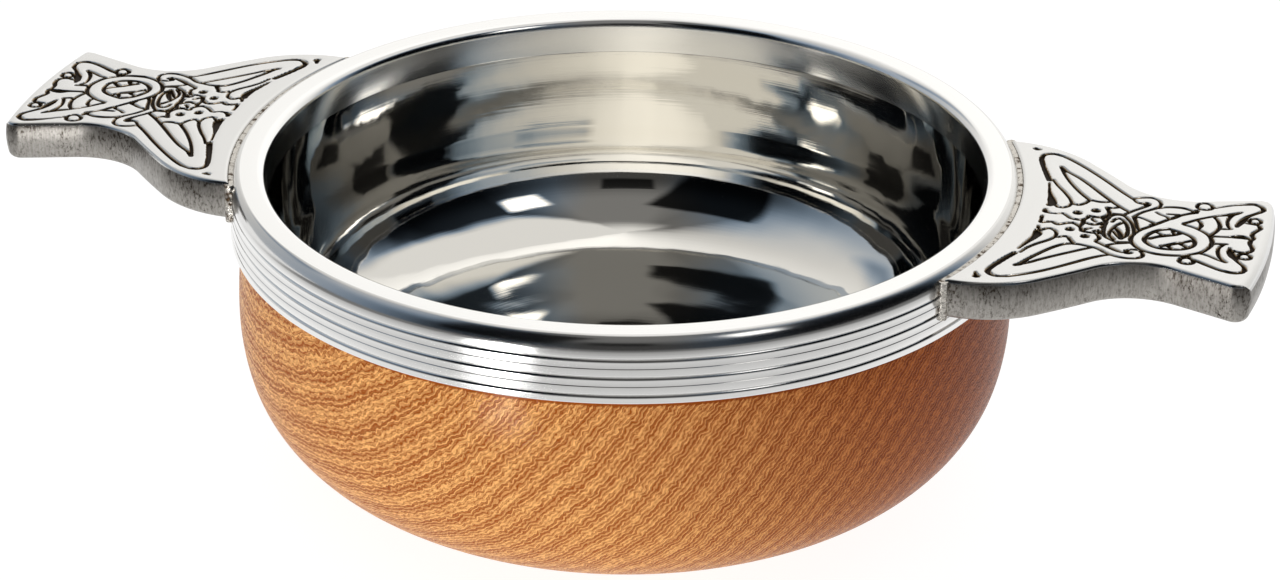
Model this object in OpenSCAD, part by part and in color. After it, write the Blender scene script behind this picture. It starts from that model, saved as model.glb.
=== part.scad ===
// Quaich: a shallow two-handled drinking bowl of turned wood, with a spun pewter liner,
// a reeded pewter collar round the rim and two cast pewter lugs soldered to the collar.
// Millimetres, +Z up, +X along the lugs, origin at the middle of the flat base.

/* [Bowl] */
// Height of the rim above the table
bowl_h = 43; // [40:0.5:47]
// How far the widest part of the wood stands in from the collar's lower edge
belly_inset = 0.65; // [0.2:0.05:1.2]
// Depth of the widest part below the rim
belly_drop = 18.9; // [17:0.1:21]
// Radius of the slight curve between the widest part and the collar
side_round = 59; // [45:1:120]
// Radius of the curve just below the widest part
belly_round = 29.5; // [24:0.5:32]
// Radius of the tight curve that turns under the bowl
hip_round = 18; // [14:0.5:21]
// Angle at which the belly curve ends, below the horizontal
belly_angle = 13.5; // [8:0.5:20]
// Angle at which the hip curve ends, below the horizontal
hip_angle = 56.5; // [52:0.5:60]
// Depth that the underside is turned flat
base_cut = 0.15; // [0.1:0.01:0.4]

/* [Collar] */
// Diameter of the collar over its lower edge
collar_d = 100; // [88:1:116]
// Width of the rim from the bore to the lower edge
rim_w = 4.7; // [4.4:0.1:5.6]
// Depth of the lip that covers the liner's edge
lip_h = 4.8; // [4:0.1:5.6]
// Rounding of the lip's inner edge
lip_round = 1.2; // [0.6:0.1:1.6]
// Height of the rounded shoulder
shoulder_h = 2.1; // [1.7:0.1:2.4]
// Angle between the flat rim and the shoulder where they meet
shoulder_angle = 50; // [40:1:60]
// Height of the narrow reed under the shoulder
fine_reed_h = 0.85; // [0.7:0.05:1.2]
// Height of each broad reed
reed_h = 2.3; // [1.9:0.05:2.6]
// Number of broad reeds
reed_rows = 2; // [2:1:3]
// Height of the lowest reed, at the collar's edge
edge_h = 0.75; // [0.65:0.05:1.5]
// How far each reed stands out past the one above it
reed_step = 0.08; // [0.05:0.01:0.12]
// Rounding of the upper edge of each reed, which leaves the dark groove above it
reed_round = 0.45; // [0.3:0.05:0.55]
// Depth of the fine line cut round the middle of each broad reed
line_depth = 0.08; // [0.05:0.01:0.12]
// Thickness of the skirt at the lower edge
skirt_wall = 1.9; // [1.6:0.1:2.2]
// Clearance between the skirt and the wooden tongue
skirt_fit = 0.1; // [0.05:0.01:0.2]

/* [Liner] */
// Depth of the liner's floor below the rim
liner_depth = 32.2; // [28:0.2:35]
// Radius of the curve between the liner's side and its floor
liner_cove = 13.5; // [10:0.1:16]
// Thickness of the liner's metal
liner_wall = 0.8; // [0.6:0.05:1.1]
// Step from the lip's bore out to the liner's side
liner_step = 0.1; // [0:0.05:0.3]
// Thickness of the adhesive under the liner
bed = 0.4; // [0.2:0.05:0.6]

/* [Lugs] */
// Reach of each lug past the collar's lower edge
lug_reach = 31.1; // [28:0.1:40]
// Thickness of each lug
lug_t = 5.3; // [4:0.1:6]
// Depth of the lug's top below the rim
lug_drop = 0.5; // [0.2:0.1:0.9]
// Width of the lug at its root
root_w = 41.8; // [38:0.2:45]
// Width of the lug at its waist
waist_w = 18.8; // [15:0.2:22]
// Rounding of the lug's root shoulder
root_round = 14.9; // [10:0.1:18]
// Distance of the root shoulder's centre inside the collar's lower edge
root_inset = 3.4; // [2.5:0.1:5]
// Slope of the lug's side between shoulder and waist
side_slope = 43.5; // [38:0.5:50]
// Rounding of the waist
waist_round = 9.2; // [6:0.1:12]
// Flare of the lug from waist to tip
flare_angle = 19; // [12:0.5:24]
// Rounding of the tip's corners
tip_round = 1.8; // [1:0.1:3]
// Gap between the lug's root and the widest reed behind it
root_gap = 0.05; // [0.03:0.01:0.1]

/* [Strapwork] */
// Depth of the lines cut into the lug's top
carve_depth = 0.4; // [0.2:0.05:0.6]
// Width of the cut lines
carve_w = 0.4; // [0.3:0.05:0.5]
// Radius of the ring near the tip, to the middle of its band
ring_r = 3.8; // [3.2:0.1:4.2]
// Width of the bands
strap_w = 1.65; // [1.3:0.05:1.9]
// Distance from the tip back to the ring's centre
ring_back = 11.6; // [10.5:0.1:13]
// Distance of the ring's centre to one side of the lug
ring_shift = 2; // [0:0.1:2.5]
// Distance of the outer wing line inside the lug's side
wing_inset = 2.2; // [1.6:0.1:2.8]
// Distance between the two lines of a wing
wing_gap = 2.6; // [2.2:0.1:3]
// Radius of the pellets beside the straps
pellet_r = 0.85; // [0.6:0.05:1]

/* [Solder] */
// Depth of the solder's top below the rim
solder_drop = 0.8; // [0.7:0.05:1]
// Height of the solder run along the root
solder_h = 0.6; // [0.4:0.05:0.8]
// Radius of the solder bead at each root corner
solder_r = 0.6; // [0.4:0.05:0.9]

/* [Hidden] */
$fn = 180;

// Small overlap that lets cutting shapes pass clear of a face
cut = 1;
// Angle by which neighbouring slices of the bowl's section overlap
lap = 6;

// Collar
collar_r = collar_d / 2;
bore_r = collar_r - rim_w;
skirt_r = collar_r - skirt_wall;
lip_z = bowl_h - lip_h;
reeds_top = bowl_h - shoulder_h;
reed_heights = concat([fine_reed_h], [for (i = [1 : reed_rows]) reed_h], [edge_h]);
reed_count = len(reed_heights);
seam_z = reed_top(reed_count);
shoulder_round = shoulder_h / sin(shoulder_angle);
shoulder_centre = [reed_r(0) - shoulder_round, reeds_top];
rim_edge_r = shoulder_centre.x + shoulder_round * cos(shoulder_angle);

// Liner: an upright side, a cove and a flat floor
side_r = bore_r + liner_step;
floor_r = side_r - liner_cove;
floor_z = bowl_h - liner_depth;
cove_z = floor_z + liner_cove;

// Wooden bowl
belly_r = collar_r - belly_inset;
belly_z = bowl_h - belly_drop;
tongue_r = skirt_r - skirt_fit;
tongue_z = lip_z - liner_wall;
belly_centre = [belly_r - belly_round, belly_z];
hip_centre = belly_centre + (belly_round - hip_round) * spoke(-belly_angle);
turn_drop = belly_round * sin(belly_angle) + hip_round * (sin(hip_angle) - sin(belly_angle));
foot_round = (belly_z + base_cut - turn_drop) / (1 - sin(hip_angle));
foot_centre = hip_centre + (hip_round - foot_round) * spoke(-hip_angle);

// Lug outline: shoulder arc, straight side, waist arc, straight flare, corner arc, tip arc
root_y = root_w / 2;
waist_y = waist_w / 2;
tip_r = collar_r + lug_reach;
root_r = reed_r(reed_rows) + root_gap;
lug_top = bowl_h - lug_drop;
lug_foot = lug_top - lug_t;
root_centre = [collar_r - root_inset, root_y - root_round];
side_drop = root_y - waist_y - (root_round + waist_round) * (1 - cos(side_slope));
side_end = root_centre + root_round * spoke(90 - side_slope);
waist_start = side_end + side_drop / sin(side_slope) * spoke(-side_slope);
waist_centre = waist_start + waist_round * spoke(90 - side_slope);
waist_end = waist_centre + waist_round * spoke(flare_angle - 90);
flare = spoke(flare_angle);
flare_in = spoke(flare_angle - 90);
corner_base = waist_end + tip_round * flare_in;
corner_arm = tip_r - tip_round;
corner_mid = corner_base * flare;
corner_gap = corner_arm * corner_arm - corner_base * corner_base;
corner_run = sqrt(corner_mid * corner_mid + corner_gap) - corner_mid;
corner_centre = corner_base + corner_run * flare;
corner_turn = atan2(corner_centre.y, corner_centre.x);
flare_end = waist_end + corner_run * flare;
tip_end = tip_r * spoke(corner_turn);

// Strapwork: nested wings at the root, a ring near the tip and straps out to the tip's corners
ring_centre = [tip_r - ring_back, -ring_shift];
wing_side = spoke(90 - side_slope);
wing_run = spoke(-side_slope);
wing_start = side_end - wing_inset * wing_side - 0.55 * root_round * wing_run;
wing_end = waist_start - wing_inset * wing_side + 0.2 * waist_round * wing_run;
wing_foot = [wing_start.x + wing_inset, 0.55 * root_y];
inner_start = wing_start - wing_gap * wing_side + 1.6 * wing_gap * wing_run;
inner_end = wing_end - wing_gap * wing_side;
inner_foot = [waist_start.x - waist_round / 2, 0.3 * root_y];
// A strap leaves the ring a little short of square to its radius, so that the lines cross cleanly
strap_turn = 86;
tip_strap = ring_back;
root_strap = ring_r + strap_w;

// Solder
solder_z = bowl_h - solder_drop;
root_angle = asin(root_y / root_r);

function spoke(a) = [cos(a), sin(a)];
function flip(p) = [p.x, -p.y];
// Face radius and top of a reed, counted down from the narrow one under the shoulder
function reed_r(i) = collar_r - (reed_count - 1 - i) * reed_step;
function reed_top(i) = i == 0 ? reeds_top : reed_top(i - 1) - reed_heights[i - 1];

// Slice of a disc between two angles less than 90 degrees apart
module slice(centre, r, from, to) {
    middle = (from + to) / 2;
    far = 1.2 * r / cos((to - from) / 2);
    intersection() {
        translate(centre) circle(r);
        polygon([centre, centre + far * spoke(from), centre + far * spoke(middle), centre + far * spoke(to)]);
    }
}

// The same slice on both sides of the X axis
module slice_pair(centre, r, from, to) {
    slice(centre, r, from, to);
    slice(flip(centre), r, -to, -from);
}

module box2(low, high) {
    translate(low) square(high - low);
}

// Half section of one reed: an upright face with a rounded upper edge
module reed(i) {
    top = reed_top(i);
    face = reed_r(i);
    box2([skirt_r, reed_top(i + 1)], [face - reed_round, top]);
    box2([skirt_r, reed_top(i + 1)], [face, top - reed_round]);
    slice([face - reed_round, top - reed_round], reed_round, 0, 90);
}

// Half section of the collar: rounded lip, flat rim, shoulder, reeds and the rebate for the tongue
module collar_section() {
    slice([bore_r + lip_round, bowl_h - lip_round], lip_round, 90, 180);
    box2([bore_r, lip_z], [bore_r + lip_round, bowl_h - lip_round]);
    box2([bore_r + lip_round, lip_z], [rim_edge_r, bowl_h]);
    slice(shoulder_centre, shoulder_round, 0, shoulder_angle);
    box2([skirt_r, reed_top(1)], [reed_r(0), reeds_top]);
    difference() {
        for (i = [1 : reed_count - 1]) reed(i);
        for (i = [1 : reed_rows])
            translate([reed_r(i), reed_top(i) - reed_h / 2]) circle(line_depth);
    }
}

// Half section of the hollow that the liner lines, grown outward by a thickness
module hollow_section(grow) {
    box2([0, cove_z], [side_r + grow, lip_z]);
    box2([0, floor_z - grow], [floor_r, cove_z]);
    slice([floor_r, cove_z], liner_cove + grow, -90, 0);
}

// Half section of the solid wooden blank, up to the top of its tongue
module blank_section() {
    box2([0, belly_z], [tongue_r, tongue_z]);
    intersection() {
        translate([belly_r - side_round, belly_z]) circle(side_round);
        box2([0, belly_z], [collar_r, seam_z]);
    }
    intersection() {
        box2([0, 0], [collar_r, seam_z]);
        union() {
            slice(belly_centre, belly_round, -belly_angle, lap);
            slice(hip_centre, hip_round, -hip_angle - lap, lap - belly_angle);
            slice(foot_centre, foot_round, -90 - lap, -hip_angle);
            box2([0, -base_cut], [foot_centre.x, belly_z]);
        }
    }
}

// Plan of one lug, reaching along +X from the bowl's axis
module lug_plan() {
    upper = [
        tip_end, flare_end, waist_end, waist_start, side_end, [root_centre.x, root_y], [0, root_y]
    ];
    lower = [for (i = [len(upper) - 1 : -1 : 0]) flip(upper[i])];
    difference() {
        union() {
            polygon(concat(lower, upper));
            intersection() {
                circle(tip_r);
                box2([tip_end.x, -tip_end.y], [tip_r + cut, tip_end.y]);
            }
            slice_pair(root_centre, root_round, 90 - side_slope, 90);
            slice_pair(corner_centre, tip_round, corner_turn, 90 + flare_angle);
        }
        slice_pair(waist_centre, waist_round, -90 - side_slope, -90 + flare_angle);
    }
}

// Line cut from one point to the next, with round ends
module line(points) {
    for (i = [1 : len(points) - 1]) {
        run = points[i] - points[i - 1];
        translate(points[i - 1]) rotate(atan2(run.y, run.x)) translate([0, -carve_w / 2])
            square([norm(run), carve_w]);
    }
    for (p = points) translate(p) circle(d = carve_w);
}

// Circle cut as a line
module ring(centre, r) {
    translate(centre) difference() {
        circle(r + carve_w / 2);
        circle(r - carve_w / 2);
    }
}

// Strap that runs off the ring at an angle, forward or back round it: the two lines along its edges
module strap(angle, way, reach) {
    for (edge = [-1, 1]) {
        start = ring_centre + (ring_r + edge * strap_w / 2) * spoke(angle);
        line([start, start + reach * spoke(angle + way * strap_turn)]);
    }
}

// Lines of the strapwork on the lug's top
module strapwork() {
    for (side = [-1, 1]) scale([1, side]) {
        line([wing_foot, wing_start, wing_end]);
        line([inner_foot, inner_start, inner_end]);
    }
    for (edge = [-1, 1]) ring(ring_centre, ring_r + edge * strap_w / 2);
    strap(140, -1, tip_strap);
    strap(-115, 1, tip_strap);
    strap(195, -1, root_strap);
    strap(165, 1, root_strap);
    for (angle = [-12, 40]) ring(ring_centre + (ring_r + strap_w + 2 * pellet_r) * spoke(angle), pellet_r);
}

// One lug along +X, its root hollowed to sit against the collar
module lug() {
    color("silver") translate([0, 0, lug_foot]) difference() {
        linear_extrude(lug_t) difference() {
            lug_plan();
            circle(root_r);
        }
        translate([0, 0, lug_t - carve_depth]) linear_extrude(carve_depth + cut) strapwork();
    }
}

// Solder along one root: a run behind the shoulder and a bead down each corner
module solder() {
    color("darkgray") difference() {
        union() {
            rotate([0, 0, -root_angle]) rotate_extrude(angle = 2 * root_angle)
                box2([rim_edge_r, solder_z - solder_h], [root_r, solder_z]);
            for (side = [-1, 1]) rotate([0, 0, side * root_angle])
                translate([root_r, 0, lug_foot]) cylinder(h = solder_z - lug_foot, r = solder_r);
        }
        rotate_extrude() collar_section();
        translate([0, 0, lug_foot]) linear_extrude(lug_t) difference() {
            lug_plan();
            circle(root_r);
        }
    }
}

module wood_bowl() {
    color("peru") rotate_extrude() difference() {
        blank_section();
        hollow_section(liner_wall + bed);
    }
}

module adhesive_bed() {
    color("wheat") rotate_extrude() difference() {
        intersection() {
            hollow_section(liner_wall + bed);
            box2([0, 0], [tongue_r, tongue_z]);
        }
        hollow_section(liner_wall);
    }
}

module pewter_liner() {
    color("gainsboro") rotate_extrude() difference() {
        union() {
            hollow_section(liner_wall);
            box2([side_r, tongue_z], [tongue_r, lip_z]);
        }
        hollow_section(0);
    }
}

module rim_collar() {
    color("silver") rotate_extrude() collar_section();
}

module right_lug() {
    lug();
}

module left_lug() {
    rotate([0, 0, 180]) lug();
}

module right_solder() {
    solder();
}

module left_solder() {
    rotate([0, 0, 180]) solder();
}

wood_bowl();
adhesive_bed();
pewter_liner();
rim_collar();
left_lug();
right_lug();
left_solder();
right_solder();
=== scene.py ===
"""A quaich: a turned wooden bowl with a spun pewter liner, a reeded pewter collar and two cast pewter lugs.

Every piece is a surface worked out with numpy around the packed frame, in metres, with +X along the lugs,
+Z up and the origin at the middle of the flat base.
"""

import math

import bpy
import numpy as np
from bpy.props import FloatProperty, FloatVectorProperty, IntProperty, PointerProperty
from mathutils import Matrix, Vector


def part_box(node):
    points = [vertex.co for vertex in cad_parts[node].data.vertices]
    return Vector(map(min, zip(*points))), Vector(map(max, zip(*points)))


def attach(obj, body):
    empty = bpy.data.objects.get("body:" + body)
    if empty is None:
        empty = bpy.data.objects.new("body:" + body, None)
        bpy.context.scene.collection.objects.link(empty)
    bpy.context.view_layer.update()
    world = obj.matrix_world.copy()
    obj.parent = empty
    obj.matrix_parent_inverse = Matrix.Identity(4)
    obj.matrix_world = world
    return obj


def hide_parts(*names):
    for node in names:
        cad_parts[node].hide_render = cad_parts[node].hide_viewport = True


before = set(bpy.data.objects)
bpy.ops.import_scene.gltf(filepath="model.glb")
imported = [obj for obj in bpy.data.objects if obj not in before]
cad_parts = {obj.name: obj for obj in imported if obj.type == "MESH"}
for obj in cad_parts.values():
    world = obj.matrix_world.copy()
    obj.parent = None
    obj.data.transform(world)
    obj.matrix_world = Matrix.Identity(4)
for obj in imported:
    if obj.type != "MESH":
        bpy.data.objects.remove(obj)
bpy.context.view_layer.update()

bl_info = {
    "name": "Quaich",
    "version": (1, 0, 0),
    "blender": (4, 5, 0),
    "location": "View3D > Sidebar > Quaich",
    "description": "Builds a two-lugged wooden drinking bowl with pewter mounts",
    "category": "Add Mesh",
}

MM = 0.001
QUARTER = 0.5 * math.pi
UP = Vector((0.0, 0.0, 1.0))
RIM_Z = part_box("rim_collar")[1].z
RIM_MM = RIM_Z / MM
TIP_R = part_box("right_lug")[1].x

# Edges sharper than this are shaded as edges.
SHARP_ANGLE = math.radians(38)

# Steps along a straight stretch and round the cove of the liner's sections.
FLAT_STEPS = 24
COVE_STEPS = 32

# Points of a section that would stand closer than this in height are left out.
LEAST_STEP = 0.01 * MM


def length(name, description, default):
    """A property that holds a length. The default is given in millimetres."""
    return FloatProperty(
        name=name, description=description, default=default * MM, min=0.0, precision=5,
        subtype="DISTANCE", unit="LENGTH",
    )


def angle(name, description, default):
    """A property that holds an angle. The default is given in degrees."""
    return FloatProperty(
        name=name, description=description, default=math.radians(default), subtype="ANGLE", unit="ROTATION",
    )


def colour(name, description, default):
    """A property that holds a linear colour."""
    return FloatVectorProperty(
        name=name, description=description, default=default, size=3, min=0.0, max=1.0, subtype="COLOR",
    )


class QuaichBowl(bpy.types.PropertyGroup):
    """Sizes of the turned wooden bowl."""

    belly_inset: length("Belly inset", "How far the widest part stands in from the collar's edge", 0.65)
    belly_drop: length("Belly drop", "Depth of the widest part below the rim", 18.9)
    side_round: length("Side round", "Radius of the curve between the widest part and the collar", 59)
    belly_round: length("Belly round", "Radius of the curve just below the widest part", 29.5)
    hip_round: length("Hip round", "Radius of the tight curve that turns under the bowl", 18)
    belly_angle: angle("Belly angle", "Angle at which the belly curve ends", 13.5)
    hip_angle: angle("Hip angle", "Angle at which the hip curve ends", 56.5)
    base_cut: length("Base cut", "Depth that the underside is turned flat", 0.15)


class QuaichCollar(bpy.types.PropertyGroup):
    """Sizes of the reeded collar and of the liner below it."""

    radius: length("Collar radius", "Radius over the lower edge", 50)
    rim_w: length("Rim width", "Width from the bore to the lower edge", 4.7)
    lip_h: length("Lip height", "Depth of the lip that covers the liner's edge", 4.8)
    lip_round: length("Lip round", "Rounding of the lip's inner edge", 1.2)
    rim_round: length("Rim round", "Rounding of the edge between the flat rim and the shoulder", 0.6)
    shoulder_h: length("Shoulder height", "Height of the rounded shoulder", 1.75)
    shoulder_angle: angle("Shoulder angle", "Angle between the flat rim and the shoulder where they meet", 51)
    shoulder_foot: angle("Shoulder foot", "Lean of the shoulder at its lower edge", 9)
    fine_reed_h: length("Narrow reed height", "Height of the narrow reed under the shoulder", 0.9)
    reed_h: length("Reed height", "Height of each broad reed", 2.27)
    reed_rows: IntProperty(name="Reed rows", description="Number of broad reeds", default=2, min=1, max=4)
    edge_h: length("Edge height", "Height of the lowest reed, at the collar's edge", 1.11)
    reed_step: length("Reed step", "How far each reed stands out past the one above it", 0.08)
    reed_round: length("Reed round", "Rounding of the upper edge of each reed", 0.45)
    line_depth: length("Line depth", "Depth of the fine line round each broad reed", 0.05)
    skirt_wall: length("Skirt wall", "Thickness of the skirt at the lower edge", 1.9)
    skirt_fit: length("Skirt fit", "Clearance between the skirt and the wooden tongue", 0.1)
    liner_depth: length("Liner depth", "Depth of the liner's floor below the rim", 32.2)
    liner_cove: length("Liner cove", "Radius of the curve between the liner's side and floor", 13.5)
    liner_taper: angle("Liner taper", "Slope of the liner's polished side", 2.9)
    liner_sweep: length("Liner sweep", "Width of the polished curve between side and floor", 20)
    liner_rise: length("Liner rise", "Height of the polished curve between side and floor", 16.3)
    liner_bend: FloatProperty(
        name="Liner bend", description="Exponent of the polished curve, two for an ellipse", default=2.44,
        min=1.5, max=4.0,
    )
    liner_wall: length("Liner wall", "Thickness of the liner's metal", 0.8)
    liner_step: length("Liner step", "Step from the lip's bore out to the liner's side", 0.1)
    bed: length("Adhesive bed", "Thickness of the adhesive under the liner", 0.4)


class QuaichLugs(bpy.types.PropertyGroup):
    """Sizes of the two cast lugs."""

    thickness: length("Thickness", "Thickness of each lug", 5.3)
    drop: length("Drop", "Depth of the lug's top below the rim", 0.5)
    root_w: length("Root width", "Width at the root", 41.8)
    waist_w: length("Waist width", "Width at the waist", 18.8)
    root_round: length("Root round", "Rounding of the root shoulder", 14.9)
    root_inset: length("Root inset", "Distance of the shoulder's centre inside the collar's edge", 3.4)
    side_slope: angle("Side slope", "Slope of the side between shoulder and waist", 43.5)
    waist_round: length("Waist round", "Rounding of the waist", 9.2)
    flare_angle: angle("Flare", "Flare from waist to tip", 19)
    tip_round: length("Tip round", "Rounding of the tip's corners", 1.8)
    root_seat: length("Root seat", "Distance of the root inside the collar's edge", 0.03)
    edge_round: length("Edge round", "Rounding of the upper edge along the sides", 0.45)
    end_round: length("End round", "Rounding of the upper edge at the tip", 1.3)
    side_crown: length("Side crown", "How far the sides swell out at half their height", 0.16)
    foot_round: length("Foot round", "Rounding of the lower edge", 1.0)
    groove_depth: length("Groove depth", "Depth of the interlace's grooves", 0.4)


class QuaichFinish(bpy.types.PropertyGroup):
    """Colours of the finishes."""

    pewter: colour("Pewter", "Polished pewter", (0.90, 0.895, 0.88))
    cast: colour("Cast pewter", "Pewter of the lugs' faces and the collar's shoulder", (0.73, 0.725, 0.71))
    spun: colour("Spun pewter", "Pewter of the liner", (0.90, 0.88, 0.83))
    patina: colour("Patina", "Dark patina left in the grooves", (0.026, 0.017, 0.010))
    tarnish: colour("Tarnish", "Brown edge of the patina", (0.34, 0.23, 0.11))
    wood_light: colour("Light wood", "Colour between the fine lines", (0.95, 0.495, 0.165))
    wood_dark: colour("Dark wood", "Colour of the fine lines", (0.36, 0.080, 0.007))
    stain_light: colour("Light stain", "Colour between the lines at the darker end", (0.41, 0.088, 0.010))
    stain_dark: colour("Dark stain", "Colour of the lines at the darker end", (0.15, 0.023, 0.002))
    lacquer: FloatProperty(
        name="Lacquer", description="Share of clear lacquer on the wood", default=0.22, min=0.0, max=1.0,
        subtype="FACTOR",
    )
    lug_side: colour("Lug side", "Pewter of the lugs' sides", (0.43, 0.41, 0.38))
    # This colour also gives the painted shade towards the top of the lugs' sides.
    lug_shade: colour("Lug shade", "Dark flecks and patches on the lugs' sides", (0.055, 0.045, 0.035))
    solder: colour("Solder", "Bright solder", (0.58, 0.55, 0.50))
    solder_stain: colour("Solder stain", "Brown edges and hollows of the solder", (0.10, 0.062, 0.034))
    adhesive: colour("Adhesive", "Colour of the adhesive under the liner", (0.55, 0.45, 0.30))
    adhesive_dark: colour("Dark adhesive", "Mottling of the adhesive", (0.40, 0.31, 0.19))


class QuaichStudio(bpy.types.PropertyGroup):
    """Camera and light."""

    distance: length("Distance", "Distance from the camera to the middle of the rim", 450)
    azimuth: angle("Azimuth", "Turn of the camera round the bowl", 16.37)
    elevation: angle("Elevation", "Height of the camera above the rim's plane", 24.636)
    yaw: angle("Yaw", "Turn of the camera off the rim's middle", 0.241)
    pitch: angle("Pitch", "Tilt of the camera off the rim's middle", -2.139)
    roll: angle("Roll", "Roll of the camera", 0.508)
    lens: length("Lens", "Focal length on a sensor 36 mm wide", 100.13)
    backdrop: FloatProperty(name="Backdrop", description="Brightness of the backdrop", default=1.0, min=0.0)


def arc(centre, radius, start, end, steps):
    """Points of an arc: the centre plus the radius times cosine and sine, from a start to an end angle."""
    turn = np.linspace(start, end, steps)
    return np.stack([centre[0] + radius * np.cos(turn), centre[1] + radius * np.sin(turn)], -1)


def spoke(turn):
    """Flat unit vector at an angle: its cosine and its sine."""
    return np.array([math.cos(turn), math.sin(turn)])


def grid_quads(rows, columns):
    """Numbers of a grid's vertices, counted row by row, and the quads between each four of them."""
    index = np.arange(rows * columns).reshape(rows, columns)
    corners = [index[:-1, :-1], index[1:, :-1], index[1:, 1:], index[:-1, 1:]]
    return index, np.stack(corners, -1).reshape(-1, 4)


def revolve(profile, turns, closed):
    """Surface of revolution: each point (r, z) of a profile is carried round the Z axis.

    The profile runs counter-clockwise about the solid. A closed profile joins its last point to its first;
    an open one starts and ends on the axis, and each of those ends is a single vertex. Returns vertices,
    quads and, for an open profile, the triangles round its two ends.
    """
    ring = profile if closed else profile[1:-1]
    turn = np.linspace(0.0, 2.0 * np.pi, turns, endpoint=False)
    grid = np.stack(
        [
            ring[:, 0, None] * np.cos(turn),
            ring[:, 0, None] * np.sin(turn),
            np.repeat(ring[:, 1, None], turns, 1),
        ],
        -1,
    )
    rows = len(ring)
    index = np.arange(rows * turns).reshape(rows, turns)
    ahead = np.roll(index, -1, 1)
    low, high = (index, np.roll(index, -1, 0)) if closed else (index[:-1], index[1:])
    low_ahead, high_ahead = (ahead, np.roll(ahead, -1, 0)) if closed else (ahead[:-1], ahead[1:])
    quads = np.stack([low, low_ahead, high_ahead, high], -1).reshape(-1, 4)
    vertices = grid.reshape(-1, 3)
    if closed:
        return vertices, quads, None
    count = len(vertices)
    poles = np.array([[0.0, 0.0, profile[0, 1]], [0.0, 0.0, profile[-1, 1]]])
    first = np.stack([np.full(turns, count), ahead[0], index[0]], -1)
    last = np.stack([index[-1], ahead[-1], np.full(turns, count + 1)], -1)
    return np.concatenate([vertices, poles]), quads, np.concatenate([first, last])


def new_mesh(name, vertices, quads, triangles=None, polygon=None):
    """A mesh object at the origin from arrays of vertices, quads, triangles and at most one large polygon."""
    corners = [quads.ravel()]
    sizes = [np.full(len(quads), 4)]
    if triangles is not None:
        corners.append(triangles.ravel())
        sizes.append(np.full(len(triangles), 3))
    if polygon is not None:
        corners.append(polygon)
        sizes.append(np.array([len(polygon)]))
    corners = np.concatenate(corners).astype(np.int32)
    sizes = np.concatenate(sizes).astype(np.int32)
    mesh = bpy.data.meshes.new(name)
    mesh.vertices.add(len(vertices))
    mesh.vertices.foreach_set("co", np.ascontiguousarray(vertices, np.float32).ravel())
    mesh.loops.add(len(corners))
    mesh.loops.foreach_set("vertex_index", corners)
    mesh.polygons.add(len(sizes))
    mesh.polygons.foreach_set("loop_start", np.concatenate([[0], np.cumsum(sizes)[:-1]]).astype(np.int32))
    mesh.update(calc_edges=True)
    if mesh.validate():
        raise RuntimeError(f"{name}: the mesh has faults")
    mesh.shade_smooth()
    mesh.set_sharp_from_angle(angle=SHARP_ANGLE)
    piece = bpy.data.objects.new(name, mesh)
    bpy.context.scene.collection.objects.link(piece)
    return piece


def paint(piece, name, values):
    """Stores one number for each vertex under an attribute's name."""
    layer = piece.data.attributes.new(name, "FLOAT", "POINT")
    layer.data.foreach_set("value", np.ascontiguousarray(values, np.float32))


def place(piece, slot, *nodes):
    """Makes a piece ride on the part's one body, in the place of its CAD nodes. The slot is not used."""
    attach(piece, "root")
    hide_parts(*nodes)


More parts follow.
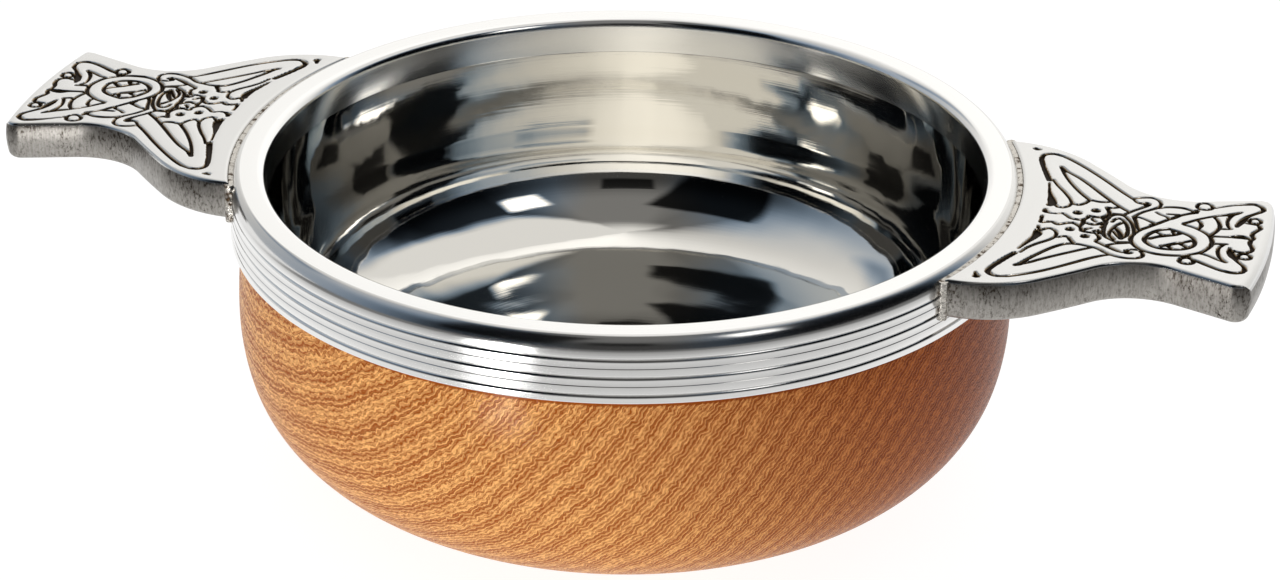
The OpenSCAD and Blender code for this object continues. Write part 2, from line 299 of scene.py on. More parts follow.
class Graph:
    """Short calls that add nodes to one node tree."""

    def __init__(self, tree):
        self.tree = tree
        tree.nodes.clear()

    def add(self, kind, inputs=None, **settings):
        """A new node, with its settings and with what its inputs get."""
        node = self.tree.nodes.new(kind)
        for key, value in settings.items():
            setattr(node, key, value)
        for key, value in (inputs or {}).items():
            self.feed(node.inputs[key], value)
        return node

    def feed(self, socket, value):
        """Links an input to another node's output, or sets it to a constant."""
        if isinstance(value, bpy.types.NodeSocket):
            self.tree.links.new(value, socket)
        else:
            socket.default_value = value

    def math(self, operation, *values, clamp=False):
        node = self.add("ShaderNodeMath", operation=operation, use_clamp=clamp)
        for socket, value in zip(node.inputs, values):
            self.feed(socket, value)
        return node.outputs[0]

    def chain(self, operation, values, clamp):
        """Carries an operation along a list of values. A clamp holds the result between zero and one."""
        result = values[0]
        for value in values[1:-1]:
            result = self.math(operation, result, value)
        return self.math(operation, result, values[-1], clamp=clamp)

    def total(self, *values, clamp=False):
        """Sum of two or more values."""
        return self.chain("ADD", values, clamp)

    def times(self, *values, clamp=False):
        """Product of two or more values."""
        return self.chain("MULTIPLY", values, clamp)

    def sway(self, noise, amount):
        """A noise centred on zero, times an amount."""
        return self.times(self.math("SUBTRACT", noise, 0.5), amount)

    def distance(self, x, y):
        """Root of the sum of two squares."""
        return self.math("SQRT", self.total(self.math("POWER", x, 2.0), self.math("POWER", y, 2.0)))

    def vector(self, operation, *values):
        node = self.add("ShaderNodeVectorMath", operation=operation)
        for socket, value in zip(node.inputs, values):
            self.feed(socket, value)
        return node.outputs["Value" if operation in {"DOT_PRODUCT", "LENGTH"} else "Vector"]

    def dot(self, value, axis):
        return self.vector("DOT_PRODUCT", value, tuple(axis))

    def stretch(self, value, factors):
        return self.vector("MULTIPLY", value, factors)

    def parts(self, value):
        """The x, y and z of a vector."""
        return self.add("ShaderNodeSeparateXYZ", {"Vector": value}).outputs

    def combine(self, x, y, z):
        return self.add("ShaderNodeCombineXYZ", {"X": x, "Y": y, "Z": z}).outputs[0]

    def noise(self, vector, scale, detail=2.0, roughness=0.5):
        return self.add(
            "ShaderNodeTexNoise",
            {"Vector": vector, "Scale": scale, "Detail": detail, "Roughness": roughness},
        ).outputs["Fac"]

    def span(self, value, low, high, start=0.0, end=1.0, smooth=True):
        """Start at the low value and end at the high one, joined by a smooth curve or a straight line."""
        return self.add(
            "ShaderNodeMapRange",
            {"Value": value, "From Min": low, "From Max": high, "To Min": start, "To Max": end},
            interpolation_type="SMOOTHSTEP" if smooth else "LINEAR",
        ).outputs["Result"]

    def ramp(self, share, points, interpolation="LINEAR"):
        """A grey that follows a list of (share, value), whose first share is zero and whose last is one."""
        node = self.add("ShaderNodeValToRGB", {"Fac": share})
        node.color_ramp.interpolation = interpolation
        stops = node.color_ramp.elements
        first, *between, last = points
        stops[0].color = grey(first[1])
        stops[1].color = grey(last[1])
        for at, value in between:
            stops.new(at).color = grey(value)
        return node.outputs["Color"]

    def mix(self, factor, first, second):
        """Mix of two colours. The node's sockets share their names, so they are picked by number."""
        node = self.add("ShaderNodeMix", data_type="RGBA")
        self.feed(node.inputs[0], factor)
        self.feed(node.inputs[6], first)
        self.feed(node.inputs[7], second)
        return node.outputs[2]

    def blend(self, factor, first, second):
        """Mix of two numbers, with its sockets picked in the same way."""
        node = self.add("ShaderNodeMix", data_type="FLOAT")
        self.feed(node.inputs[0], factor)
        self.feed(node.inputs[2], first)
        self.feed(node.inputs[3], second)
        return node.outputs[0]

    def bump(self, height, strength, distance, normal=None):
        """The surface's normal, or another one, tilted by a height."""
        node = self.add("ShaderNodeBump", {"Height": height, "Strength": strength, "Distance": distance})
        if normal is not None:
            self.feed(node.inputs["Normal"], normal)
        return node.outputs["Normal"]

    def attribute(self, name):
        return self.add("ShaderNodeAttribute", attribute_name=name).outputs["Fac"]

    def place_in_mm(self):
        """The piece's own coordinates, in millimetres."""
        own = self.add("ShaderNodeTexCoord").outputs["Object"]
        return self.stretch(own, (1.0 / MM, 1.0 / MM, 1.0 / MM))

    def around(self, spot):
        """Radius, angle and height of a spot round the Z axis."""
        x, y, z = self.parts(spot)
        return self.distance(x, y), self.math("ARCTAN2", y, x), z

    def surface(self, inputs):
        """A principled shader with these inputs, as the material's surface."""
        shader = self.add("ShaderNodeBsdfPrincipled", inputs)
        self.add("ShaderNodeOutputMaterial", {"Surface": shader.outputs[0]})


def new_material(name):
    """An empty node material and the graph that fills it."""
    material = bpy.data.materials.new(name)
    material.use_nodes = True
    return material, Graph(material.node_tree)


def rgba(value):
    """A colour property as red, green, blue and alpha."""
    return (*value, 1.0)


def grey(value):
    """A grey as red, green, blue and alpha."""
    return (value, value, value, 1.0)


def wood_material(finish):
    """Oiled ring-porous wood.

    Growth rings lie round a tilted axis well outside the bowl. Each ring has a pale, mottled early part and a
    late part. Fine zig-zag lines of pores run through both, stronger in the late part, with hair-fine lines
    among them. The zig-zag is noise on the place round and along the axis, so neighbouring lines keep step
    with each other. Lengths are in millimetres.
    """
    material, g = new_material("oiled_wood")
    heart = (40.2, 19.0, -50.0)
    grain = Vector((-0.797, 0.274, -0.538)).normalized()
    mean_radius = 90.0
    ring_gap = 2.2
    line_gap = 0.50
    hair_gap = 0.21
    spot = g.place_in_mm()
    across = grain.cross(UP).normalized()
    rise = across.cross(grain)
    local = g.vector("SUBTRACT", spot, heart)
    u, v, w = [g.dot(local, axis) for axis in (across, rise, grain)]
    radius = g.distance(u, v)
    stretch = g.math("DIVIDE", mean_radius, radius)
    shell = g.combine(g.times(u, stretch), g.times(v, stretch), w)

    def shift(scale, depth, amount, detail=1.0):
        """Noise that varies slowly through the rings, as a shift of their place."""
        noise = g.add(
            "ShaderNodeTexNoise",
            {"Vector": shell, "W": g.times(radius, depth), "Scale": scale, "Detail": detail},
            noise_dimensions="4D",
        ).outputs["Fac"]
        return g.sway(noise, amount)

    def swing(place, gap):
        """Sine of a place through the rings, with a wave for each gap."""
        return g.math("SINE", g.times(place, 2.0 * math.pi / gap))

    years = g.sway(g.noise(g.combine(0.0, 0.0, radius), 0.16, 1.0), 3.5)
    ring = g.total(radius, shift(0.06, 0.02, 2.5, 2.0))
    late = g.span(swing(g.total(ring, years, shift(0.45, 0.10, 1.1)), ring_gap), -0.7, 0.7)
    zigzag = g.total(ring, shift(0.8, 0.25, 0.8), shift(1.8, 0.55, 0.75))
    wave = swing(zigzag, line_gap)
    line = g.span(wave, -0.30, 0.85)
    pale = g.span(wave, -0.45, -0.95)
    hair = g.span(swing(g.total(zigzag, shift(3.2, 0.9, 0.22)), hair_gap), -0.25, 0.8)
    broken = g.span(g.noise(spot, 1.1, 2.0), 0.34, 0.56)
    pores = g.times(line, g.blend(late, 0.62, 1.0), g.blend(broken, 0.6, 1.0))
    mottle = g.span(g.noise(spot, 1.5, 2.0, 0.6), 0.40, 0.68)
    stain = g.span(g.dot(spot, (0.9, -0.1, 0.2)), 14.0, 56.0)
    dots = g.times(g.span(g.noise(spot, 1.9, 1.0), 0.66, 0.72), stain)
    # Painted shade and dirt: a thin dark band on the wood just under the collar's edge.
    shade_and_dirt_under_collar = g.span(g.parts(spot)[2], RIM_MM - 9.55, RIM_MM - 9.20)
    tone = g.total(
        0.41,
        g.times(pores, 0.38),
        g.times(late, 0.12),
        g.times(mottle, g.blend(late, 1.0, 0.35), -0.42),
        g.times(pale, -0.30),
        g.times(hair, g.blend(broken, 0.30, 0.48)),
        g.times(dots, 0.5),
        shade_and_dirt_under_collar,
        clamp=True,
    )
    light = g.mix(stain, rgba(finish.wood_light), rgba(finish.stain_light))
    dark = g.mix(stain, rgba(finish.wood_dark), rgba(finish.stain_dark))
    sunk = g.times(pores, -1.0)
    g.surface({
        "Base Color": g.mix(tone, light, dark),
        "Roughness": g.blend(pores, 0.42, 0.6),
        "Specular IOR Level": 0.04,
        "Normal": g.bump(sunk, 0.9, 0.09 * MM),
        "Coat Weight": finish.lacquer,
        "Coat Roughness": 0.13,
        "Coat Normal": g.bump(sunk, 0.2, 0.06 * MM),
    })
    return material


def spun_marks(g, spot, fine, long):
    """Marks round the bowl: noise on radius plus height at a fine scale and on the angle at a long one."""
    radius, turn, height = g.around(spot)
    x = g.times(g.math("COSINE", turn), long)
    y = g.times(g.math("SINE", turn), long)
    return g.noise(g.combine(x, y, g.times(g.total(radius, height), fine)), 1.0, 3.0, 0.65)


def spun_tangent(g, spot):
    """Direction across the turning marks: the surface's normal crossed with the way round the Z axis."""
    normal = g.add("ShaderNodeNewGeometry").outputs["Normal"]
    return g.vector("CROSS_PRODUCT", normal, g.vector("CROSS_PRODUCT", tuple(UP), spot))


def liner_material(finish):
    """Polished spun pewter, with fine marks round the bowl, light scratches and slow waves in the metal.

    The marks stretch reflections upright. The waves are deepest on the walls beside the lugs.
    """
    material, g = new_material("polished_liner")
    spot = g.place_in_mm()
    rings = spun_marks(g, spot, 2.6, 1.4)
    sides = g.span(g.math("ABSOLUTE", g.dot(spot, (0.96, 0.28, 0.0))), 14.0, 38.0)
    waves = g.times(g.noise(g.stretch(spot, (1.0, 1.0, 0.16)), 0.16, 1.0), g.blend(sides, 0.4, 0.9))
    lean = g.parts(g.add("ShaderNodeNewGeometry").outputs["Normal"])[2]
    polish = g.span(lean, 0.30, 0.10, 0.018, 0.015)
    scratch = g.span(g.noise(g.stretch(spot, (1.0, 0.12, 0.9)), 2.6, 3.0, 0.7), 0.66, 0.78)
    wavy = g.bump(waves, 1.0, 0.12 * MM)
    g.surface({
        "Base Color": rgba(finish.spun),
        "Metallic": 1.0,
        "Roughness": g.total(polish, g.times(rings, 0.03), g.times(scratch, 0.08)),
        "Anisotropic": 0.7,
        "Tangent": spun_tangent(g, spot),
        "Normal": g.bump(rings, 0.5, 0.005 * MM, wavy),
    })
    return material


def collar_material(finish):
    """Turned pewter, satin on the shoulder. The grooves between the reeds and the fine lines round the reeds
    are painted dark.
    """
    material, g = new_material("reeded_collar")
    spot = g.place_in_mm()
    rings = spun_marks(g, spot, 5.0, 3.0)
    satin = g.attribute("satin")
    wear = g.span(g.noise(spot, 0.5, 3.0, 0.6), 0.35, 0.7)
    patina = g.times(g.attribute("groove"), g.blend(wear, 0.85, 1.0), clamp=True)
    metal = g.mix(satin, rgba(finish.pewter), rgba(finish.cast))
    g.surface({
        "Base Color": g.mix(patina, metal, rgba(finish.patina)),
        "Metallic": 1.0,
        "Roughness": g.total(g.blend(satin, 0.13, 0.15), g.sway(rings, 0.10), clamp=True),
        "Anisotropic": 0.4,
        "Tangent": spun_tangent(g, spot),
        "Normal": g.bump(rings, 0.3, 0.010 * MM),
    })
    return material


def lug_top_material(finish):
    """Polished cast pewter whose grooves hold a dark patina, with fine scratches on the faces."""
    material, g = new_material("cast_lug_face")
    spot = g.place_in_mm()
    grit = g.noise(spot, 3.5, 3.0, 0.6)
    edge = g.total(g.attribute("recess"), g.sway(grit, 0.30))
    patina = g.span(edge, 0.30, 0.75)
    fringe = g.span(edge, 0.08, 0.42)
    scratch = g.noise(g.stretch(spot, (0.6, 3.0, 1.0)), 2.2, 3.0, 0.7)
    metal = g.mix(fringe, rgba(finish.cast), rgba(finish.tarnish))
    g.surface({
        "Base Color": g.mix(patina, metal, rgba(finish.patina)),
        "Metallic": 1.0,
        "Roughness": g.blend(patina, g.blend(scratch, 0.12, 0.26), 0.62),
        "Normal": g.bump(grit, 0.25, 0.02 * MM),
    })
    return material


def lug_side_material(finish):
    """Satin cast pewter with upright brush marks, darker patches, small casting pits and painted shade that
    darkens the sides towards their top edge.
    """
    material, g = new_material("cast_lug_side")
    spot = g.place_in_mm()
    brush = g.noise(g.stretch(spot, (4.0, 4.0, 0.45)), 1.0, 4.0, 0.75)
    fleck = g.span(g.noise(g.stretch(spot, (1.0, 1.0, 0.55)), 3.0, 4.0, 0.75), 0.46, 0.66)
    patch = g.span(g.noise(spot, 0.15, 3.0, 0.55), 0.40, 0.62)
    pit = g.span(g.noise(spot, 1.9, 1.0, 0.5), 0.74, 0.80)
    # Painted shade: the sides grow darker towards their top edge.
    upper = g.span(g.parts(spot)[2], RIM_MM - 4.4, RIM_MM - 1.4)
    shade = g.total(
        g.times(fleck, g.blend(patch, 0.30, 0.75)),
        g.times(g.span(brush, 0.3, 0.7), 0.30),
        g.times(upper, g.blend(patch, 0.15, 0.42)),
        clamp=True,
    )
    metal = g.mix(shade, rgba(finish.lug_side), rgba(finish.lug_shade))
    g.surface({
        "Base Color": g.mix(pit, metal, rgba(finish.patina)),
        "Metallic": 1.0,
        "Roughness": g.blend(brush, 0.24, 0.42),
        "Normal": g.bump(g.total(brush, g.times(pit, -2.0)), 0.35, 0.03 * MM),
    })
    return material


def solder_material(finish):
    """Lumpy grey solder, brown along its inner edge and in its hollows."""
    material, g = new_material("tarnished_solder")
    inner_edge = 48.6
    edge_width = 0.3
    spot = g.place_in_mm()
    lumps = g.noise(spot, 0.9, 3.0, 0.6)
    edge = g.span(g.around(spot)[0], inner_edge + edge_width, inner_edge)
    stain = g.total(g.times(edge, 0.85), g.span(lumps, 0.47, 0.66), clamp=True)
    g.surface({
        "Base Color": g.mix(stain, rgba(finish.solder), rgba(finish.solder_stain)),
        "Metallic": 1.0,
        "Roughness": g.blend(stain, 0.26, 0.6),
        "Normal": g.bump(lumps, 0.9, 0.30 * MM),
    })
    return material


def adhesive_material(finish):
    """Cured adhesive, slightly mottled."""
    material, g = new_material("cured_adhesive")
    mottle = g.noise(g.place_in_mm(), 0.6, 3.0)
    g.surface({
        "Base Color": g.mix(mottle, rgba(finish.adhesive), rgba(finish.adhesive_dark)),
        "Roughness": g.blend(mottle, 0.45, 0.65),
        "Normal": g.bump(mottle, 0.3, 0.1 * MM),
    })
    return material


def hollow_profile(collar, grow):
    """Half section of the liner's hollow grown by a thickness: from under the lip down its side to the axis.

    It is an upright side, a quarter circle and a flat floor.
    """
    side = collar.radius - collar.rim_w + collar.liner_step
    floor = RIM_Z - collar.liner_depth
    cove = (side - collar.liner_cove, floor + collar.liner_cove)
    top = (side + grow, RIM_Z - collar.lip_h)
    wall = np.linspace(top, (side + grow, cove[1]), FLAT_STEPS, endpoint=False)
    curve = arc(cove, collar.liner_cove + grow, 0.0, -QUARTER, COVE_STEPS)
    flat = np.linspace((cove[0], floor - grow), (0.0, floor - grow), FLAT_STEPS)[1:]
    return np.concatenate([wall, curve, flat])


def bowl_profile(bowl, collar):
    """Half section of the wooden bowl: base, three tangent arcs, side arc, tongue and hollow."""
    belly_r = collar.radius - bowl.belly_inset
    belly_z = RIM_Z - bowl.belly_drop
    skirt_h = collar.shoulder_h + collar.fine_reed_h + collar.reed_rows * collar.reed_h + collar.edge_h
    seam_z = RIM_Z - skirt_h
    tongue_r = collar.radius - collar.skirt_wall - collar.skirt_fit
    tongue_z = RIM_Z - collar.lip_h - collar.liner_wall
    belly = np.array([belly_r - bowl.belly_round, belly_z])
    hip = belly + (bowl.belly_round - bowl.hip_round) * spoke(-bowl.belly_angle)
    drop = bowl.belly_round * math.sin(bowl.belly_angle)
    drop += bowl.hip_round * (math.sin(bowl.hip_angle) - math.sin(bowl.belly_angle))
    foot_round = (belly_z + bowl.base_cut - drop) / (1.0 - math.sin(bowl.hip_angle))
    foot = hip + (bowl.hip_round - foot_round) * spoke(-bowl.hip_angle)
    base_turn = -math.asin(foot[1] / foot_round)
    seam_turn = math.asin((seam_z - belly_z) / bowl.side_round)
    base_r = foot[0] + foot_round * math.cos(base_turn)
    base = np.linspace((0.0, 0.0), (base_r, 0.0), 16, endpoint=False)
    outside = np.concatenate([
        arc(foot, foot_round, base_turn, -bowl.hip_angle, 24)[:-1],
        arc(hip, bowl.hip_round, -bowl.hip_angle, -bowl.belly_angle, 36)[:-1],
        arc(belly, bowl.belly_round, -bowl.belly_angle, 0.0, 20)[:-1],
        arc((belly_r - bowl.side_round, belly_z), bowl.side_round, 0.0, seam_turn, 24),
    ])
    tongue = np.array([(tongue_r, seam_z), (tongue_r, tongue_z)])
    hollow = hollow_profile(collar, collar.liner_wall + collar.bed)
    mouth = [(hollow[0, 0], tongue_z)]
    hollow = hollow[hollow[:, 1] < tongue_z - LEAST_STEP]
    return np.concatenate([base, outside, tongue, mouth, hollow])


def polished_profile(collar):
    """Half section of the liner's polished inside, from under the lip to the axis.

    The side leans in. Below it a superellipse runs to the flat floor: the share of its width and the share of
    its height, each raised to the bend, add up to one.
    """
    top = RIM_Z - collar.lip_h
    floor = RIM_Z - collar.liner_depth
    start = floor + collar.liner_rise
    side = collar.radius - collar.rim_w + collar.liner_step
    foot = side - math.tan(collar.liner_taper) * (top - start)
    wall = np.linspace((side, top), (foot, start), FLAT_STEPS, endpoint=False)
    turn = np.linspace(0.0, QUARTER, 3 * COVE_STEPS)
    power = 2.0 / collar.liner_bend
    curve = np.stack([
        foot - collar.liner_sweep * (1.0 - np.abs(np.cos(turn)) ** power),
        start - collar.liner_rise * np.sin(turn) ** power,
    ], -1)
    flat = np.linspace((curve[-1, 0], floor), (0.0, floor), FLAT_STEPS)[1:]
    return np.concatenate([wall, curve, flat])


def liner_profile(collar):
    """Half section of the liner: underside, flange and polished inside."""
    tongue_r = collar.radius - collar.skirt_wall - collar.skirt_fit
    flange_z = RIM_Z - collar.lip_h
    flange_foot = flange_z - collar.liner_wall
    under = hollow_profile(collar, collar.liner_wall)[::-1]
    under = under[under[:, 1] < flange_foot - LEAST_STEP]
    flange = np.array([(under[-1, 0], flange_foot), (tongue_r, flange_foot), (tongue_r, flange_z)])
    return np.concatenate([under, flange, polished_profile(collar)])


def collar_profile(collar):
    """Half section of the collar, counter-clockwise from the lip's lower edge.

    The reeds are upright faces, each with a rounded upper edge that runs into a narrow groove under the next
    one, and each broad reed has a fine line round its middle. The shoulder is an arc, and a small arc rounds
    the edge between it and the flat rim. Returns the points with their shares of groove and of satin finish.
    """
    bore = collar.radius - collar.rim_w
    skirt = collar.radius - collar.skirt_wall
    lip_z = RIM_Z - collar.lip_h
    heights = [collar.fine_reed_h] + [collar.reed_h] * collar.reed_rows + [collar.edge_h]
    tops = RIM_Z - collar.shoulder_h - np.concatenate([[0.0], np.cumsum(heights)])
    lowest = len(heights) - 1
    small_round = 0.06 * MM
    groove_depth = 0.10 * MM
    patina_reach = 0.24 * MM
    line_shade = 0.35
    line_place = 0.55
    parts = []
    shades = []

    def add(points, shade=0.0):
        parts.append(np.array(points))
        shades.append(np.full(len(points), shade))

    add([(bore + small_round, lip_z), (skirt, lip_z), (skirt, tops[-1])])
    for row in range(lowest, -1, -1):
        face = collar.radius - (lowest - row) * collar.reed_step
        foot = tops[row + 1]
        add(arc((face - small_round, foot + small_round), small_round, -QUARTER, 0.0, 4))
        add([(face, foot + 2.0 * small_round)])
        if 0 < row < lowest:
            middle = tops[row] - line_place * collar.reed_h
            width = 1.2 * collar.line_depth
            add([(face, middle - 2.0 * width), (face, middle - width)])
            add([(face - collar.line_depth, middle)], shade=line_shade)
            add([(face, middle + width), (face, middle + 2.0 * width)])
        if row > 0:
            curl = (face - collar.reed_round, tops[row] - collar.reed_round)
            add([(face, curl[1] - small_round)])
            add(arc(curl, collar.reed_round, 0.0, QUARTER, 14)[:-1])
            add([(curl[0], tops[row] - 0.3 * small_round), (curl[0] - groove_depth, tops[row])], shade=1.0)
    bend = collar.shoulder_h / (math.sin(collar.shoulder_angle) - math.sin(collar.shoulder_foot))
    centre = np.array([face, tops[0]]) - bend * spoke(collar.shoulder_foot)
    rim_edge = centre[0] + bend * math.cos(collar.shoulder_angle)
    ease = collar.rim_round * (1.0 - math.sin(collar.shoulder_angle)) / math.cos(collar.shoulder_angle)
    flat_edge = rim_edge - ease
    add(arc(centre, bend, collar.shoulder_foot, collar.shoulder_angle - ease / bend, 22))
    add(arc((flat_edge, RIM_Z - collar.rim_round), collar.rim_round, collar.shoulder_angle, QUARTER, 12))
    lip = (bore + collar.lip_round, RIM_Z - collar.lip_round)
    add(arc(lip, collar.lip_round, QUARTER, math.pi, 16))
    add([(bore, lip_z + small_round)])
    profile = np.concatenate(parts)
    shade = np.concatenate(shades)
    gap = np.sqrt(((profile[:, None] - profile[None]) ** 2).sum(-1)) / patina_reach
    groove = (shade[None] * np.clip(1.0 - gap, 0.0, 1.0)).max(1)
    satin = (profile[:, 1] >= tops[0]) & (profile[:, 0] > flat_edge)
    return profile, groove, satin.astype(float)


class QUAICH_OT_wood_bowl(bpy.types.Operator):
    """Turns the wooden bowl with its tongue and hollow"""

    bl_idname = "quaich.wood_bowl"
    bl_label = "Wooden bowl"

    def execute(self, context):
        scene = context.scene
        profile = bowl_profile(scene.quaich_bowl, scene.quaich_collar)
        vertices, quads, caps = revolve(profile, turns=320, closed=False)
        piece = new_mesh("turned_wood_bowl", vertices, quads, caps)
        piece.data.materials.append(wood_material(scene.quaich_finish))
        place(piece, "oiled_wood", "wood_bowl")
        return {"FINISHED"}


class QUAICH_OT_liner(bpy.types.Operator):
    """Spins the pewter liner with its flange"""

    bl_idname = "quaich.liner"
    bl_label = "Pewter liner"

    def execute(self, context):
        scene = context.scene
        vertices, quads, caps = revolve(liner_profile(scene.quaich_collar), turns=360, closed=False)
        piece = new_mesh("spun_liner", vertices, quads, caps)
        piece.data.materials.append(liner_material(scene.quaich_finish))
        place(piece, "polished_pewter", "pewter_liner")
        return {"FINISHED"}


class QUAICH_OT_collar(bpy.types.Operator):
    """Turns the reeded collar"""

    bl_idname = "quaich.collar"
    bl_label = "Reeded collar"

    def execute(self, context):
        scene = context.scene
        profile, groove, satin = collar_profile(scene.quaich_collar)
        turns = 480
        vertices, quads, _ = revolve(profile, turns, closed=True)
        piece = new_mesh("reeded_collar", vertices, quads)
        paint(piece, "groove", np.repeat(groove, turns))
        paint(piece, "satin", np.repeat(satin, turns))
        piece.data.materials.append(collar_material(scene.quaich_finish))
        place(piece, "polished_pewter", "rim_collar")
        return {"FINISHED"}


def lug_outline(lugs, collar_r):
    """Half outline of a lug, from root to tip.

    It is a shoulder arc, a straight side, a waist arc, a straight flare and a corner arc. Each arc is tangent
    to its neighbours, and the corner arc touches the tip's circle about the bowl's axis.
    """
    steps = 40
    root_y = 0.5 * lugs.root_w
    fall = root_y - 0.5 * lugs.waist_w
    fall -= (lugs.root_round + lugs.waist_round) * (1.0 - math.cos(lugs.side_slope))
    root = np.array([collar_r - lugs.root_inset, root_y - lugs.root_round])
    side_end = root + lugs.root_round * spoke(QUARTER - lugs.side_slope)
    waist_start = side_end + fall / math.sin(lugs.side_slope) * spoke(-lugs.side_slope)
    waist = waist_start + lugs.waist_round * spoke(QUARTER - lugs.side_slope)
    flare = spoke(lugs.flare_angle)
    base = waist + (lugs.waist_round + lugs.tip_round) * spoke(lugs.flare_angle - QUARTER)
    reach = TIP_R - lugs.tip_round
    along = base @ flare
    run = math.sqrt(along * along + reach * reach - base @ base) - along
    corner = base + run * flare
    corner_turn = math.atan2(corner[1], corner[0])
    return np.concatenate([
        [(collar_r - 2.0 * lugs.root_inset, root_y)],
        arc(root, lugs.root_round, QUARTER, QUARTER - lugs.side_slope, steps),
        arc(waist, lugs.waist_round, -QUARTER - lugs.side_slope, lugs.flare_angle - QUARTER, steps),
        arc(corner, lugs.tip_round, QUARTER + lugs.flare_angle, corner_turn, steps),
    ])


